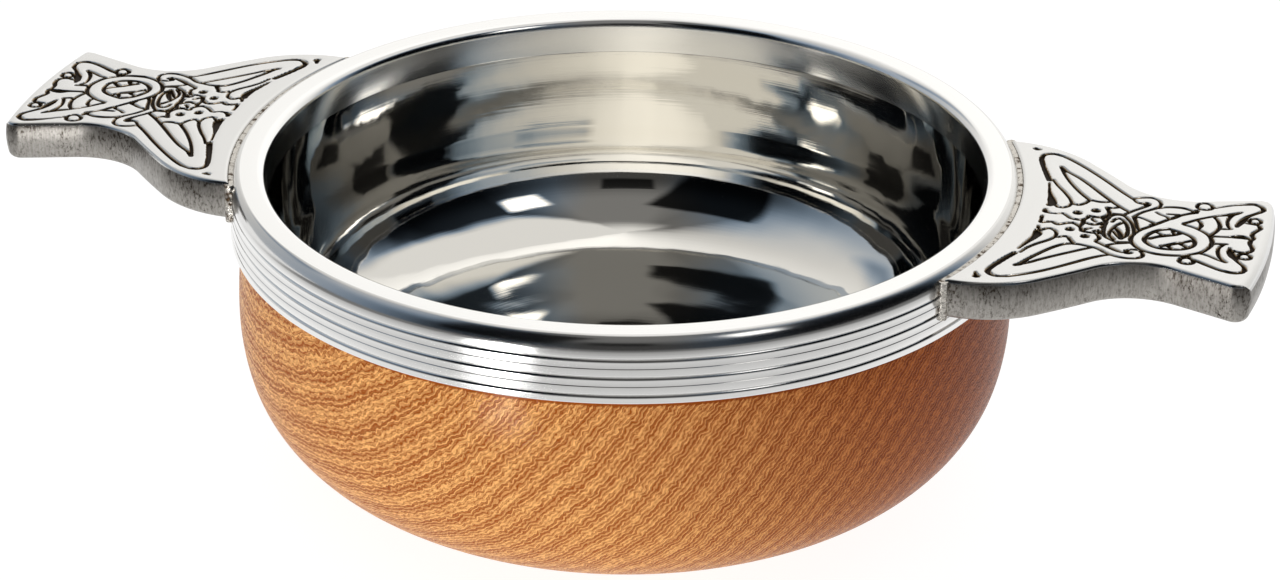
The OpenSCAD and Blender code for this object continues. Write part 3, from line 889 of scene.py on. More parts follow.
# The lug's carving, as the lines cut between its bands. Each line is a list of (x, y, width) in millimetres,
# with x from the bowl's axis and y across the lug, and its points are joined by a smooth curve.
CARVING = {
    "upper wing": [
        [(52.3, 10.4, 0.6), (51.6, 12.2, 0.6), (50.7, 14.6, 0.5), (50.1, 16.8, 0.5), (50.4, 17.9, 0.5),
         (51.4, 18.3, 0.4), (52.6, 18.0, 0.4), (54.0, 17.1, 0.4), (56.4, 15.0, 0.35), (59.2, 12.2, 0.35),
         (61.4, 9.8, 0.35), (63.2, 8.0, 0.35)],
        [(53.0, 14.8, 0.4), (53.5, 14.0, 0.6), (54.1, 13.5, 0.35), (55.8, 12.1, 0.35), (57.5, 10.3, 0.35),
         (59.3, 8.2, 0.4), (60.9, 6.4, 0.4), (62.2, 5.1, 0.4), (63.4, 4.1, 0.35)],
        [(53.1, 14.5, 0.35), (53.9, 12.5, 0.3), (55.0, 10.4, 0.3), (56.5, 8.1, 0.35), (58.1, 6.1, 0.4)],
        [(52.7, 10.7, 0.25), (53.6, 9.1, 0.25), (54.7, 7.5, 0.3), (55.7, 5.8, 0.3), (56.1, 4.8, 0.3),
         (56.5, 4.35, 0.35), (57.1, 4.3, 0.35), (57.7, 5.0, 0.35), (58.2, 6.0, 0.35), (59.3, 5.9, 0.35),
         (60.2, 6.1, 0.35), (60.8, 6.6, 0.3)],
        [(52.4, 9.6, 0.15), (52.8, 7.6, 0.2), (53.2, 6.2, 0.5), (53.6, 4.9, 0.9), (53.8, 3.9, 1.0),
         (53.6, 3.3, 0.7)],
        [(54.3, 3.5, 0.3), (54.7, 2.95, 0.3), (55.3, 2.95, 0.3), (55.9, 3.6, 0.3), (56.1, 4.7, 0.3)],
    ],
    "lower wing": [
        [(52.0, -11.3, 0.6), (51.2, -13.0, 0.65), (50.3, -15.2, 0.65), (49.85, -16.7, 0.6),
         (50.2, -17.6, 0.5), (51.1, -18.05, 0.4), (52.4, -17.7, 0.4), (54.0, -16.7, 0.4),
         (55.7, -15.4, 0.4), (57.4, -13.8, 0.35), (59.3, -11.8, 0.4), (60.9, -10.1, 0.4),
         (62.4, -8.8, 0.35), (63.1, -8.4, 0.3)],
        [(52.7, -14.5, 0.45), (53.2, -14.0, 0.6), (53.8, -12.5, 0.45), (54.8, -10.6, 0.4),
         (55.8, -8.9, 0.4), (56.8, -7.6, 0.4), (57.7, -6.9, 0.4), (59.0, -6.7, 0.35), (60.2, -6.9, 0.35),
         (61.4, -7.2, 0.35), (62.6, -8.1, 0.35), (63.8, -8.6, 0.35), (65.0, -8.8, 0.35), (66.2, -8.5, 0.35),
         (66.8, -7.8, 0.35), (66.8, -7.0, 0.35), (66.4, -6.3, 0.35)],
        [(53.3, -14.0, 0.4), (54.2, -13.3, 0.35), (55.1, -12.3, 0.35), (56.6, -10.8, 0.35),
         (58.3, -9.2, 0.35), (59.7, -7.9, 0.35), (60.5, -7.2, 0.3)],
        [(54.1, -3.9, 0.35), (54.5, -3.45, 0.35), (55.1, -3.4, 0.35), (55.7, -4.0, 0.3), (55.9, -4.9, 0.3),
         (55.7, -5.8, 0.35), (55.1, -6.8, 0.35), (54.1, -8.0, 0.35), (53.2, -9.4, 0.3),
         (52.6, -10.9, 0.25)],
        [(53.4, -4.2, 0.5), (53.65, -5.1, 1.0), (53.4, -6.4, 0.75), (52.9, -7.8, 0.5), (52.2, -9.9, 0.2)],
        [(56.2, -5.5, 0.3), (56.8, -5.05, 0.35), (57.4, -5.1, 0.35), (57.8, -5.8, 0.35), (58.4, -6.7, 0.4)],
    ],
    "heads": [
        [(53.3, 1.9, 0.35), (53.45, 1.3, 0.6), (54.1, 0.95, 0.25), (54.9, 1.0, 0.12), (55.6, 1.3, 0.25),
         (56.2, 0.8, 0.3), (56.8, 0.25, 0.35), (57.6, 0.05, 0.35), (58.3, 0.35, 0.4), (58.7, 1.0, 0.35),
         (58.8, 1.6, 0.35), (59.6, 1.45, 0.4), (60.4, 1.65, 0.5), (60.95, 2.5, 0.5), (61.05, 3.3, 0.4),
         (60.7, 4.2, 0.4), (60.5, 4.6, 0.3), (61.2, 4.6, 0.3), (61.8, 5.0, 0.35)],
        [(53.3, -0.1, 0.3), (53.35, -1.2, 0.3), (53.5, -1.9, 0.35), (54.2, -1.6, 0.4), (54.9, -1.5, 0.4),
         (55.5, -1.9, 0.45), (56.1, -1.6, 0.4), (56.7, -1.15, 0.4), (57.4, -1.05, 0.4), (58.0, -1.5, 0.4),
         (58.4, -2.0, 0.35), (58.7, -2.9, 0.35), (59.6, -3.1, 0.3), (60.4, -3.1, 0.3), (60.9, -3.7, 0.35),
         (61.05, -4.4, 0.35), (60.8, -5.2, 0.35), (61.6, -5.8, 0.35), (62.6, -6.5, 0.3), (63.6, -7.1, 0.3),
         (64.4, -7.35, 0.3)],
        [(58.3, 0.4, 0.35), (58.45, -0.4, 0.45), (58.3, -1.4, 0.35)],
        [(53.35, -3.0, 0.25), (53.5, -3.6, 0.3), (54.0, -4.0, 0.4)],
        [(58.9, -0.55, 0.4), (59.6, -0.75, 0.45), (60.3, -0.4, 0.5), (60.8, 0.2, 0.4)],
        [(60.5, 1.5, 0.4), (60.95, 0.8, 0.5), (61.1, 0.0, 0.4), (60.95, -0.7, 0.5), (60.8, -1.3, 0.4)],
        [(59.3, 1.0, 0.2), (59.5, 0.55, 0.3), (59.85, 0.2, 0.3)],
        [(58.8, -2.8, 0.35), (59.1, -2.2, 0.35), (59.6, -1.8, 0.3)],
        [(60.1, -2.5, 0.3), (60.6, -2.2, 0.4), (60.9, -2.8, 0.5)],
    ],
    "knot": [
        [(61.2, 1.9, 0.35), (61.5, 2.5, 0.35), (62.1, 2.9, 0.35), (62.9, 2.85, 0.35), (63.5, 2.2, 0.35),
         (64.2, 1.0, 0.35), (64.7, -0.6, 0.35), (64.9, -1.7, 0.35)],
        [(61.8, 0.7, 0.3), (62.0, 1.5, 0.35), (62.5, 1.9, 0.35), (63.1, 1.5, 0.35), (63.7, 0.3, 0.35),
         (64.05, -1.2, 0.35), (64.05, -2.6, 0.4), (63.7, -3.4, 0.4)],
        [(63.0, 0.8, 0.4), (62.5, 0.0, 0.35), (62.2, -0.8, 0.35), (61.95, -1.9, 0.3), (62.1, -3.0, 0.3),
         (62.8, -4.0, 0.35)],
        [(62.5, -0.8, 0.35), (63.0, -1.6, 0.5), (63.4, -2.5, 0.5), (63.5, -3.1, 0.35)],
        [(61.2, 1.9, 0.4), (61.0, 0.6, 0.35), (61.1, -1.0, 0.35), (61.25, -2.5, 0.4), (61.7, -3.6, 0.35),
         (62.5, -4.25, 0.35), (63.3, -4.7, 0.35), (64.2, -4.5, 0.35), (64.9, -4.3, 0.35)],
        [(62.3, -1.7, 0.25), (62.9, -2.7, 0.3), (63.6, -3.7, 0.35)],
    ],
    "hooks": [
        [(63.2, 8.1, 0.3), (64.2, 8.65, 0.3), (65.3, 8.95, 0.3), (66.2, 8.6, 0.3), (66.7, 7.8, 0.3),
         (66.7, 6.9, 0.3), (66.3, 6.1, 0.35), (65.6, 5.3, 0.3), (65.0, 4.6, 0.3), (64.5, 3.8, 0.3),
         (64.1, 2.9, 0.4)],
        [(63.3, 7.9, 0.25), (63.9, 7.1, 0.3), (64.5, 7.0, 0.5), (65.1, 7.1, 0.8), (65.1, 6.5, 0.5),
         (64.5, 5.5, 0.3), (63.8, 4.6, 0.3), (63.0, 3.4, 0.3)],
        [(64.7, -6.7, 0.4), (65.0, -7.2, 0.8), (65.4, -7.1, 0.4)],
        [(64.9, -6.5, 0.3), (65.3, -6.25, 0.3), (65.9, -6.2, 0.3)],
        [(61.3, 3.0, 0.35), (62.2, 3.1, 0.3), (63.0, 3.2, 0.3)],
        [(62.3, -5.9, 0.3), (63.2, -5.2, 0.35), (64.2, -4.75, 0.35), (64.9, -4.4, 0.35)],
        [(62.2, -6.0, 0.3), (63.1, -6.6, 0.3), (64.1, -7.2, 0.3)],
    ],
    "leaves": [
        [(66.5, 6.2, 0.35), (67.4, 6.75, 0.35), (68.6, 7.1, 0.4), (69.8, 7.1, 0.4), (70.8, 6.7, 0.4),
         (71.2, 6.3, 0.5)],
        [(66.6, 5.0, 0.25), (67.2, 4.5, 0.3), (68.0, 4.1, 0.3), (68.4, 3.6, 0.4)],
        [(68.0, 4.9, 0.25), (68.8, 5.0, 0.3), (69.4, 5.0, 0.4), (69.1, 4.3, 0.35), (68.6, 3.6, 0.3)],
        [(64.3, 3.0, 0.35), (65.2, 2.8, 0.3), (66.1, 2.3, 0.35), (66.8, 1.8, 0.5), (66.5, 1.2, 0.4)],
        [(64.2, 2.8, 0.4), (64.6, 1.6, 0.35), (65.0, 0.2, 0.35), (65.4, -0.5, 0.35)],
        [(71.7, 4.3, 0.3), (72.2, 3.7, 0.35), (72.4, 2.8, 0.35), (72.2, 1.9, 0.3)],
        [(73.6, 5.8, 0.3), (74.2, 4.8, 0.35), (74.6, 3.4, 0.4), (74.4, 1.9, 0.4), (73.9, 0.6, 0.4)],
        [(74.7, 2.6, 0.3), (75.4, 2.75, 0.3), (76.0, 3.0, 0.3)],
    ],
    "ring": [
        [(73.3, 8.4, 0.3), (74.2, 9.0, 0.2), (75.4, 9.8, 0.25), (76.8, 10.5, 0.45), (77.9, 10.8, 0.5),
         (78.8, 10.3, 0.5), (79.1, 9.6, 0.5), (78.8, 8.8, 0.4), (78.1, 7.9, 0.35), (77.4, 6.9, 0.5),
         (77.0, 5.6, 0.8), (76.7, 4.5, 0.6), (76.6, 3.8, 0.25)],
        [(71.3, 7.0, 0.5), (71.1, 6.3, 0.5), (70.4, 5.7, 0.35), (69.4, 4.8, 0.35), (68.3, 3.4, 0.35),
         (67.3, 2.0, 0.4), (66.3, 0.6, 0.35), (65.4, -0.6, 0.4), (64.9, -1.8, 0.4), (64.7, -3.0, 0.45),
         (65.0, -4.2, 0.4), (65.8, -5.4, 0.4), (67.0, -6.2, 0.4), (68.4, -6.6, 0.45), (69.8, -6.5, 0.45),
         (71.1, -6.2, 0.4), (72.3, -5.5, 0.35), (73.4, -4.6, 0.4), (74.0, -3.4, 0.4), (74.35, -2.0, 0.45),
         (74.2, -0.7, 0.45), (73.7, 0.4, 0.4), (72.8, 1.3, 0.35), (71.6, 2.1, 0.35), (70.3, 2.65, 0.4),
         (70.8, 3.4, 0.35), (72.0, 4.7, 0.3), (73.6, 6.0, 0.3), (75.0, 6.8, 0.5), (75.9, 7.4, 0.6),
         (76.6, 8.1, 0.25)],
        [(75.7, 7.2, 0.5), (75.4, 6.2, 0.4), (75.3, 5.1, 0.3), (75.5, 4.0, 0.3), (75.9, 3.0, 0.3)],
        [(68.8, 0.75, 0.5), (67.7, 0.1, 0.45), (66.9, -0.9, 0.45), (66.4, -2.1, 0.45), (66.4, -3.2, 0.45),
         (67.1, -4.2, 0.45), (68.2, -4.85, 0.45), (69.6, -4.9, 0.4), (71.1, -4.4, 0.45), (72.1, -3.4, 0.45),
         (72.35, -2.2, 0.4), (72.0, -1.0, 0.4), (71.2, -0.2, 0.45), (70.0, 0.4, 0.45), (68.8, 0.75, 0.5)],
        [(66.9, -2.6, 0.5), (67.7, -1.9, 0.4), (68.5, -1.3, 0.6), (69.6, -0.7, 0.5), (70.3, -0.1, 0.4)],
        [(68.6, -4.2, 0.5), (69.3, -3.7, 0.5), (70.3, -2.9, 0.55), (71.2, -2.3, 0.4), (72.0, -1.6, 0.4)],
        [(67.5, -0.6, 0.3), (68.0, -0.9, 0.4), (68.4, -1.3, 0.5)],
        [(69.3, 0.2, 0.3), (69.7, -0.5, 0.4)],
        [(69.3, -3.8, 0.5), (69.8, -4.5, 0.4)],
        [(70.5, -2.8, 0.5), (71.2, -3.3, 0.5), (71.6, -3.7, 0.4)],
    ],
    "tip": [
        [(74.3, 0.3, 0.4), (75.1, 0.45, 0.3), (76.2, 0.7, 0.4), (77.2, 1.05, 0.9), (78.0, 1.05, 0.8),
         (78.6, 0.85, 0.4)],
        [(77.7, 5.15, 0.3), (78.4, 5.1, 0.3), (79.1, 5.0, 0.4), (79.4, 4.2, 0.45), (79.1, 3.4, 0.4),
         (78.75, 2.6, 0.45), (78.7, 2.0, 0.45), (79.0, 1.2, 0.4), (78.75, 0.4, 0.4), (78.8, -0.5, 0.4),
         (79.2, -1.5, 0.45), (79.2, -2.3, 0.4), (78.8, -2.95, 0.45), (78.0, -3.2, 0.4), (77.2, -3.0, 0.4)],
        [(74.5, -1.75, 0.4), (75.2, -1.6, 0.35), (76.1, -1.4, 0.3)],
        [(75.7, -1.7, 0.35), (75.3, -2.8, 0.3), (75.45, -4.2, 0.35), (75.9, -5.4, 0.35),
         (76.7, -6.35, 0.3)],
        [(76.6, -2.3, 0.25), (76.75, -3.2, 0.7), (77.2, -4.3, 0.9), (77.7, -5.2, 0.5), (78.2, -6.0, 0.35),
         (78.85, -6.8, 0.4), (79.1, -7.7, 0.45), (78.8, -8.6, 0.45), (77.8, -9.0, 0.5), (76.4, -8.7, 0.5),
         (75.0, -8.0, 0.5), (73.6, -7.2, 0.55), (72.5, -6.6, 0.4), (72.2, -6.1, 0.4)],
        [(73.5, -4.9, 0.4), (74.4, -5.2, 0.35), (75.6, -5.9, 0.35), (76.6, -6.4, 0.3)],
        [(71.7, -6.2, 0.4), (71.5, -6.8, 0.45)],
    ],
    "root corners": [
        [(48.7, 19.3, 0.3), (49.1, 19.15, 0.5), (49.5, 19.2, 0.2)],
        [(48.5, -17.7, 0.15), (48.7, -18.3, 0.4), (48.85, -18.75, 0.8)],
    ],
}

# Pellets of the carving, ringed by a cut line: (x, y, radius, width of the line) in millimetres.
PELLETS = [
    (72.05, 8.4, 0.95, 0.35), (72.1, -7.35, 0.85, 0.45), (78.55, 6.05, 0.7, 0.35), (78.6, -4.2, 0.75, 0.4),
]

# Pupils of the beasts' eyes: (x, y, radius) in millimetres.
PUPILS = [(57.3, 2.05, 0.52), (59.35, 3.3, 0.52), (57.2, -2.85, 0.5), (59.3, -4.25, 0.5)]


def smooth_line(points, steps):
    """A curve through the points, a cubic for each stretch.

    At each end a stretch has the slope of the line between the two points beside that end.
    """
    p = np.array(points, float)
    ends = np.concatenate([[2.0 * p[0] - p[1]], p, [2.0 * p[-1] - p[-2]]])
    a, b, c, d = ends[:-3, None], ends[1:-2, None], ends[2:-1, None], ends[3:, None]
    t = np.linspace(0.0, 1.0, steps, endpoint=False)[None, :, None]
    square = 2.0 * a - 5.0 * b + 4.0 * c - d
    cube = 3.0 * b - a - 3.0 * c + d
    curve = 0.5 * (2.0 * b + (c - a) * t + square * t ** 2 + cube * t ** 3)
    return np.concatenate([curve.reshape(-1, 3), p[-1:]])


def line_distance(spots, line):
    """Distance from each spot to the edge of a line of changing width, negative inside it."""
    start = line[:-1, :2]
    run = line[1:, :2] - start
    best = np.full(len(spots), np.inf)
    for k in range(len(run)):
        share = np.clip(((spots - start[k]) @ run[k]) / max(run[k] @ run[k], 1e-12), 0.0, 1.0)
        away = spots - start[k] - share[:, None] * run[k]
        width = line[k, 2] + share * (line[k + 1, 2] - line[k, 2])
        best = np.minimum(best, np.hypot(away[:, 0], away[:, 1]) - 0.5 * width)
    return best


def carving_distance(spots, reach):
    """Distance in millimetres from each spot to the nearest cut line of the carving, up to a reach."""
    best = np.full(len(spots), reach)
    for lines in CARVING.values():
        for points in lines:
            line = smooth_line(points, steps=5)
            low = line[:, :2].min(0) - reach
            high = line[:, :2].max(0) + reach
            near = ((spots > low) & (spots < high)).all(1)
            best[near] = np.minimum(best[near], line_distance(spots[near], line))
    for x, y, radius, width in PELLETS:
        ring = np.abs(np.hypot(spots[:, 0] - x, spots[:, 1] - y) - radius) - 0.5 * width
        best = np.minimum(best, ring)
    for x, y, radius in PUPILS:
        best = np.minimum(best, np.hypot(spots[:, 0] - x, spots[:, 1] - y) - radius)
    return best


def smoothstep(low, high, value):
    """Zero below low, one above high, with a smooth cubic between."""
    t = np.clip((value - low) / (high - low), 0.0, 1.0)
    return t * t * (3.0 - 2.0 * t)


def rounding(gap, edge):
    """Fall of an edge that a quarter circle rounds, at a distance in from it."""
    return edge - np.sqrt(np.maximum(edge ** 2 - np.maximum(edge - gap, 0.0) ** 2, 0.0))


def lug_top(lugs, collar_r, rows, columns):
    """Top of the lug along +X, as a grid of points.

    Rows are circles about the bowl's axis, from the root to the tip, and columns run from one side of the
    outline to the other. The height falls off round the edge and drops into the carving, whose bands are worn
    along their edges. Returns the points, with the fall of the lug's edge and the recess share at each.
    """
    tip_rows = 18
    carving_reach = 1.2
    worn_depth = 0.10 * MM
    worn_reach = 0.35
    plain_edge = 0.3 * MM
    outline = lug_outline(lugs, collar_r)
    outline_r = np.hypot(outline[:, 0], outline[:, 1])
    root_r = collar_r - lugs.root_seat
    corner_r = TIP_R - lugs.tip_round
    ease = np.sin(np.linspace(0.0, QUARTER, tip_rows + 1)[1:])
    radius = np.concatenate([np.linspace(root_r, corner_r, rows), corner_r + lugs.tip_round * ease])
    half = np.interp(radius, outline_r, outline[:, 1])
    share = np.linspace(-1.0, 1.0, columns)
    y = half[:, None] * share
    x = np.sqrt(radius[:, None] ** 2 - y ** 2)
    slope = np.gradient(half, radius)
    side_gap = (1.0 - np.abs(share)) * (half / np.sqrt(1.0 + slope ** 2))[:, None]
    root_gap = (radius - root_r)[:, None]
    tip_gap = (TIP_R - radius)[:, None]
    side_gap = np.minimum(side_gap, root_gap)
    fall = np.maximum(rounding(side_gap, lugs.edge_round), rounding(tip_gap, lugs.end_round))
    away = carving_distance(np.stack([x.ravel(), y.ravel()], -1) / MM, carving_reach).reshape(x.shape)
    recess = 1.0 - smoothstep(-0.12, 0.16, away)
    worn = worn_depth * np.exp(-np.maximum(away, 0.0) / worn_reach)
    carved = smoothstep(0.0, plain_edge, np.minimum(side_gap, tip_gap))
    z = RIM_Z - lugs.drop - fall - carved * (recess * lugs.groove_depth + worn)
    return np.stack([x, y, z], -1), fall, recess


def lug_surface(lugs, collar_r, rows, columns):
    """Closed surface of the lug along +X.

    The top grid's rim is carried down the side, which swells a little, and in under the rounded lower edge to
    one flat face. Returns vertices, quads, the lower face, each vertex's recess share and the number of top
    quads.
    """
    side_rows = 9
    foot_rows = 8
    points, fall, recess = lug_top(lugs, collar_r, rows, columns)
    index, faces = grid_quads(*fall.shape)
    loop = np.concatenate([index[:-1, 0], index[-1, :-1], index[:0:-1, -1], index[0, :0:-1]])
    rim = points.reshape(-1, 3)[loop, :2]
    tangent = np.roll(rim, -1, 0) - np.roll(rim, 1, 0)
    outward = np.stack([tangent[:, 1], -tangent[:, 0]], -1)
    outward /= np.linalg.norm(outward, axis=1)[:, None]
    top = RIM_Z - lugs.drop
    turn = np.linspace(0.0, QUARTER, foot_rows)
    drop = np.concatenate([np.linspace(0.0, 1.0, side_rows + 2)[1:-1], np.ones(foot_rows)])
    inset = np.concatenate([np.zeros(side_rows), lugs.foot_round * (1.0 - np.cos(turn))])
    swell = lugs.side_crown * 4.0 * drop * (1.0 - drop)
    at_root = loop < columns
    shift = np.where(at_root, 0.0, (swell - inset)[:, None])
    rim_z = (top - fall).ravel()[loop]
    level = rim_z + drop[:, None] * (top - lugs.thickness + lugs.foot_round - rim_z)
    level[side_rows:] -= lugs.foot_round * np.sin(turn)[:, None]
    walls = np.concatenate([rim[None] + shift[:, :, None] * outward[None], level[:, :, None]], -1)
    stack = np.concatenate([loop[None], index.size + np.arange(level.size).reshape(level.shape)])
    ahead = np.roll(stack, -1, 1)
    wall_faces = np.stack([stack[:-1], stack[1:], ahead[1:], ahead[:-1]], -1).reshape(-1, 4)
    vertices = np.concatenate([points.reshape(-1, 3), walls.reshape(-1, 3)])
    shade = np.concatenate([recess.ravel(), np.zeros(level.size)])
    return vertices, np.concatenate([faces, wall_faces]), stack[-1][::-1], shade, len(faces)


class QUAICH_OT_lugs(bpy.types.Operator):
    """Casts the two lugs with their interlace"""

    bl_idname = "quaich.lugs"
    bl_label = "Cast lugs"

    def execute(self, context):
        scene = context.scene
        finish = scene.quaich_finish
        materials = (lug_top_material(finish), lug_side_material(finish))
        vertices, quads, under, recess, tops = lug_surface(
            scene.quaich_lugs, scene.quaich_collar.radius, rows=262, columns=320,
        )
        for name, node, turn in (("right_cast_lug", "right_lug", 1.0), ("left_cast_lug", "left_lug", -1.0)):
            piece = new_mesh(name, vertices * (turn, turn, 1.0), quads, polygon=under)
            paint(piece, "recess", recess)
            for material in materials:
                piece.data.materials.append(material)
            slots = np.ones(len(piece.data.polygons), np.int32)
            slots[:tops] = 0
            piece.data.polygons.foreach_set("material_index", slots)
            place(piece, "cast_pewter", node)
        return {"FINISHED"}


class QUAICH_OT_joins(bpy.types.Operator):
    """Finishes the solder and the adhesive, whose shapes come from the frame"""

    bl_idname = "quaich.joins"
    bl_label = "Solder and adhesive"

    def execute(self, context):
        finish = context.scene.quaich_finish
        solder = solder_material(finish)
        for name, material in (
            ("left_solder", solder), ("right_solder", solder), ("adhesive_bed", adhesive_material(finish)),
        ):
            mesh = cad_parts[name].data
            mesh.materials.clear()
            mesh.materials.append(material)
        return {"FINISHED"}


def heading(turn, rise):
    """Direction at an angle round from the camera, to its right, and at a rise above the floor."""
    return np.array([math.sin(turn) * math.cos(rise), -math.cos(turn) * math.cos(rise), math.sin(rise)])


def aim(azimuth, degrees, rise=0.0):
    """The same direction, with its angles in degrees, turned round the bowl with the camera."""
    return Matrix.Rotation(azimuth, 3, "Z") @ Vector(heading(math.radians(degrees), math.radians(rise)))


def floor_material():
    """Plain white paper. It gives off light of its own, so it stays evenly white."""
    material, g = new_material("white_floor")
    mottle = g.noise(g.place_in_mm(), 0.006, 2.0)
    g.surface({
        "Base Color": g.mix(mottle, grey(0.24), grey(0.26)),
        "Roughness": 0.9,
        "Specular IOR Level": 0.1,
        "Emission Color": grey(0.90),
        "Emission Strength": 1.0,
    })
    return material


def painted_reflection_material(azimuth):
    """A glowing sheet, no lamp, that only reflections see: it paints the floor's reflections. On the camera's
    side it fades away from the bowl, and a bright pool paints a highlight on the wood and a glow on the
    collar.
    """
    material, g = new_material("painted_floor_reflection")
    set_back = 40.0
    fade_reach = 500.0
    pool_turn = -29.0
    pool_light = 17.0
    spot = g.place_in_mm()
    ahead = aim(azimuth, 0.0)
    reach = g.vector("LENGTH", g.vector("SUBTRACT", spot, tuple(ahead * -set_back)))
    fade = g.ramp(
        g.math("DIVIDE", reach, fade_reach),
        [(0.0, 0.98), (0.23, 0.96), (0.32, 0.66), (0.42, 0.38), (0.62, 0.20), (1.0, 0.20)],
        "EASE",
    )
    behind = g.span(g.dot(spot, ahead), -20.0, -110.0)
    beam = aim(azimuth, pool_turn)
    along = g.dot(spot, beam)
    aside = g.math("ABSOLUTE", g.dot(spot, (-beam.y, beam.x, 0.0)))
    # Painted highlight: a bright patch on the sheet at the front left, seen only in reflections.
    painted_highlight_pool = g.times(g.span(along, 110.0, 160.0), g.span(along, 360.0, 220.0), g.span(aside, 24.0, 1.0))
    g.surface({
        "Base Color": grey(0.0),
        "Roughness": 1.0,
        "Specular IOR Level": 0.0,
        "Emission Color": g.mix(painted_highlight_pool, g.mix(behind, fade, grey(1.0)), grey(pool_light)),
        "Emission Strength": 1.0,
    })
    return material


class QUAICH_OT_stage(bpy.types.Operator):
    """Sets the floor, the light and the camera"""

    bl_idname = "quaich.stage"
    bl_label = "Stage"

    def execute(self, context):
        scene = context.scene
        studio = scene.quaich_studio
        scene.view_settings.view_transform = "Standard"
        self.floor(studio.azimuth)
        self.room(scene, studio)
        self.lamps(scene, studio.azimuth)
        self.camera(scene, studio)
        return {"FINISHED"}

    def floor(self, azimuth):
        """A flat white floor, and just over it a glowing sheet that only reflections see, which paints the
        floor's reflections. Both are square grids.
        """
        half = 4.0
        steps = 9
        glow_height = 0.2 * MM
        side = np.linspace(-half, half, steps)
        x, y = np.meshgrid(side, side, indexing="ij")
        flat = np.stack([x, y, np.zeros_like(x)], -1).reshape(-1, 3)
        quads = grid_quads(steps, steps)[1]
        floor = new_mesh("floor", flat, quads)
        floor.data.materials.append(floor_material())
        sheet = new_mesh("painted_floor_reflection", flat + (0.0, 0.0, glow_height), quads)
        sheet.data.materials.append(painted_reflection_material(azimuth))
        sheet.visible_camera = False
        sheet.visible_diffuse = False
        sheet.visible_transmission = False
        sheet.visible_shadow = False

    def room(self, scene, studio):
        """A studio as a world: bright behind and above, dim by the camera, with flags and a soft box."""
        world = bpy.data.worlds.new("studio")
        world.use_nodes = True
        scene.world = world
        g = Graph(world.node_tree)
        toward = g.add("ShaderNodeTexCoord").outputs["Generated"]
        side = g.dot(toward, aim(studio.azimuth, 90.0))
        bearing = g.math("ARCTAN2", side, g.dot(toward, aim(studio.azimuth, 0.0)))
        rise = g.math("ARCSINE", g.dot(toward, UP))

        def panel(degrees, tilt, wide, high, soft):
            """Mask of a soft-edged rectangle in the sky, its half sizes given as tangents."""
            ahead = aim(studio.azimuth, degrees, tilt)
            right = aim(studio.azimuth, degrees + 90.0)
            least = 0.05
            depth = g.dot(toward, ahead)
            mask = g.span(depth, least, 3.0 * least)
            for axis, half in ((right, wide), (ahead.cross(right), high)):
                slope = g.math("DIVIDE", g.dot(toward, axis), g.math("MAXIMUM", depth, least))
                mask = g.times(mask, g.span(g.math("ABSOLUTE", slope), half + soft, half - soft))
            return mask

        def round_the_room(points):
            """A value that follows a list of (degrees round from the camera, value) in straight lines."""
            share = g.span(bearing, -math.pi, math.pi, smooth=False)
            return g.ramp(share, [((degrees + 180.0) / 360.0, value) for degrees, value in points])

        walls = round_the_room([
            (-180, 1.1), (-165, 0.96), (-150, 0.84), (-120, 0.68), (-90, 0.56), (-75, 0.44), (-62, 0.30),
            (-52, 0.14), (-30, 0.13), (-15, 0.19), (25, 0.19), (40, 0.10), (52, 0.02), (82, 0.012),
            (92, 0.04), (105, 0.42), (120, 0.82), (145, 1.1), (165, 1.16), (180, 1.1),
        ])
        ceiling = round_the_room([
            (-180, 0.98), (-60, 0.98), (-40, 0.90), (25, 0.90), (40, 0.75), (55, 0.60), (78, 0.56),
            (92, 0.47), (105, 0.36), (120, 0.34), (140, 0.98), (180, 0.98),
        ])
        overhead = 0.76
        box_light = 2.0
        warm = (1.0, 0.99, 0.97, 1.0)
        blue = (0.74, 1.0, 1.34, 1.0)
        lit = g.span(g.math("SUBTRACT", rise, g.times(ceiling, QUARTER)), -0.12, 0.12)
        low = g.blend(g.span(rise, 0.85, 0.35), 1.0, g.span(walls, 0.05, 0.90, 0.12, 1.0, smooth=False))
        sky = g.times(g.blend(lit, g.times(walls, low), overhead), studio.backdrop)
        for degrees, tilt, wide, high, soft, keep in (
            (-36.0, 36.0, 0.29, 0.40, 0.04, 0.04),
            (-132.0, 34.0, 0.40, 0.10, 0.10, 0.45),
            (-1.0, 28.0, 0.15, 0.11, 0.02, 0.12),
        ):
            sky = g.times(sky, g.blend(panel(degrees, tilt, wide, high, soft), 1.0, keep))
        soft_box = panel(degrees=41.0, tilt=41.0, wide=0.10, high=0.13, soft=0.04)
        sky = g.total(sky, g.times(soft_box, box_light))
        cool = g.times(g.span(sky, 0.70, 0.10), g.span(g.math("ABSOLUTE", side), 0.16, 0.45))
        back = g.add("ShaderNodeBackground", {"Color": g.mix(cool, warm, blue), "Strength": sky})
        g.add("ShaderNodeOutputWorld", {"Surface": back.outputs[0]})

    def lamps(self, scene, azimuth):
        """Two soft lamps that reflections don't see: a large one above and a small one low on the left."""
        for name, degrees, tilt, reach, wide, high, energy in (
            ("overhead", -14.0, 42.0, 1.1, 1.0, 1.0, 2.9),
            ("window", -26.0, 5.0, 0.6, 0.20, 0.06, 0.9),
        ):
            lamp = bpy.data.lights.new(name, "AREA")
            lamp.shape = "RECTANGLE"
            lamp.size = wide
            lamp.size_y = high
            lamp.energy = energy
            source = bpy.data.objects.new(name, lamp)
            spot = aim(azimuth, degrees, tilt) * reach
            source.location = spot
            source.rotation_euler = (-spot).to_track_quat("-Z", "Y").to_euler()
            source.visible_camera = False
            source.visible_glossy = False
            scene.collection.objects.link(source)

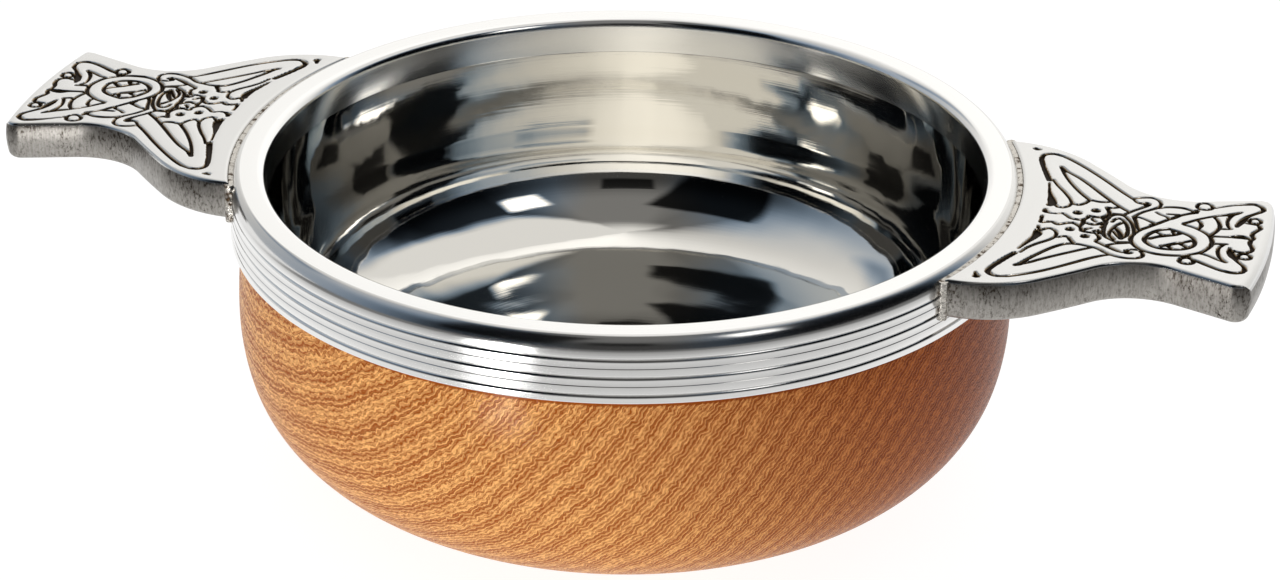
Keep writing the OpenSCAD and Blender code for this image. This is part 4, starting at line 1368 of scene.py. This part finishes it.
    def camera(self, scene, studio):
        """The photograph's view: an orbit about the rim's middle, then small turns of the camera itself."""
        spin = Matrix.Rotation(studio.azimuth, 3, "Z")
        offset = Vector(heading(0.0, studio.elevation)) * studio.distance
        ahead = -offset.normalized()
        right = Vector((1.0, 0.0, 0.0))
        up = right.cross(ahead)
        ahead = (ahead + math.tan(studio.yaw) * right + math.tan(studio.pitch) * up).normalized()
        right = ahead.cross(UP).normalized()
        up = right.cross(ahead)
        across = math.cos(studio.roll) * right + math.sin(studio.roll) * up
        above = math.cos(studio.roll) * up - math.sin(studio.roll) * right
        axes = spin @ Matrix((across, above, -ahead)).transposed()
        data = bpy.data.cameras.new("camera")
        data.sensor_fit = "HORIZONTAL"
        data.sensor_width = 36.0
        data.lens = studio.lens / MM
        data.clip_start = 0.01
        camera = bpy.data.objects.new("camera", data)
        camera.matrix_world = Matrix.Translation(spin @ offset + UP * RIM_Z) @ axes.to_4x4()
        scene.collection.objects.link(camera)
        scene.camera = camera


class VIEW3D_PT_quaich(bpy.types.Panel):
    """Lists the steps that build the quaich and their sizes"""

    bl_label = "Quaich"
    bl_space_type = "VIEW_3D"
    bl_region_type = "UI"
    bl_category = "Quaich"

    def draw(self, context):
        for operator in OPERATORS:
            self.layout.operator(operator.bl_idname)
        for name, group in SETTINGS.items():
            box = self.layout.box()
            box.label(text=group.__doc__)
            for key in group.__annotations__:
                box.prop(getattr(context.scene, name), key)


SETTINGS = {
    "quaich_bowl": QuaichBowl,
    "quaich_collar": QuaichCollar,
    "quaich_lugs": QuaichLugs,
    "quaich_finish": QuaichFinish,
    "quaich_studio": QuaichStudio,
}
OPERATORS = (
    QUAICH_OT_wood_bowl,
    QUAICH_OT_liner,
    QUAICH_OT_collar,
    QUAICH_OT_lugs,
    QUAICH_OT_joins,
    QUAICH_OT_stage,
)
CLASSES = (*SETTINGS.values(), *OPERATORS, VIEW3D_PT_quaich)


def register():
    for cls in CLASSES:
        bpy.utils.register_class(cls)
    for name, group in SETTINGS.items():
        setattr(bpy.types.Scene, name, PointerProperty(type=group))


def unregister():
    for name in SETTINGS:
        delattr(bpy.types.Scene, name)
    for cls in reversed(CLASSES):
        bpy.utils.unregister_class(cls)


def main():
    register()
    bpy.ops.quaich.wood_bowl()
    bpy.ops.quaich.liner()
    bpy.ops.quaich.collar()
    bpy.ops.quaich.lugs()
    bpy.ops.quaich.joins()
    bpy.ops.quaich.stage()


if __name__ == "__main__":
    main()
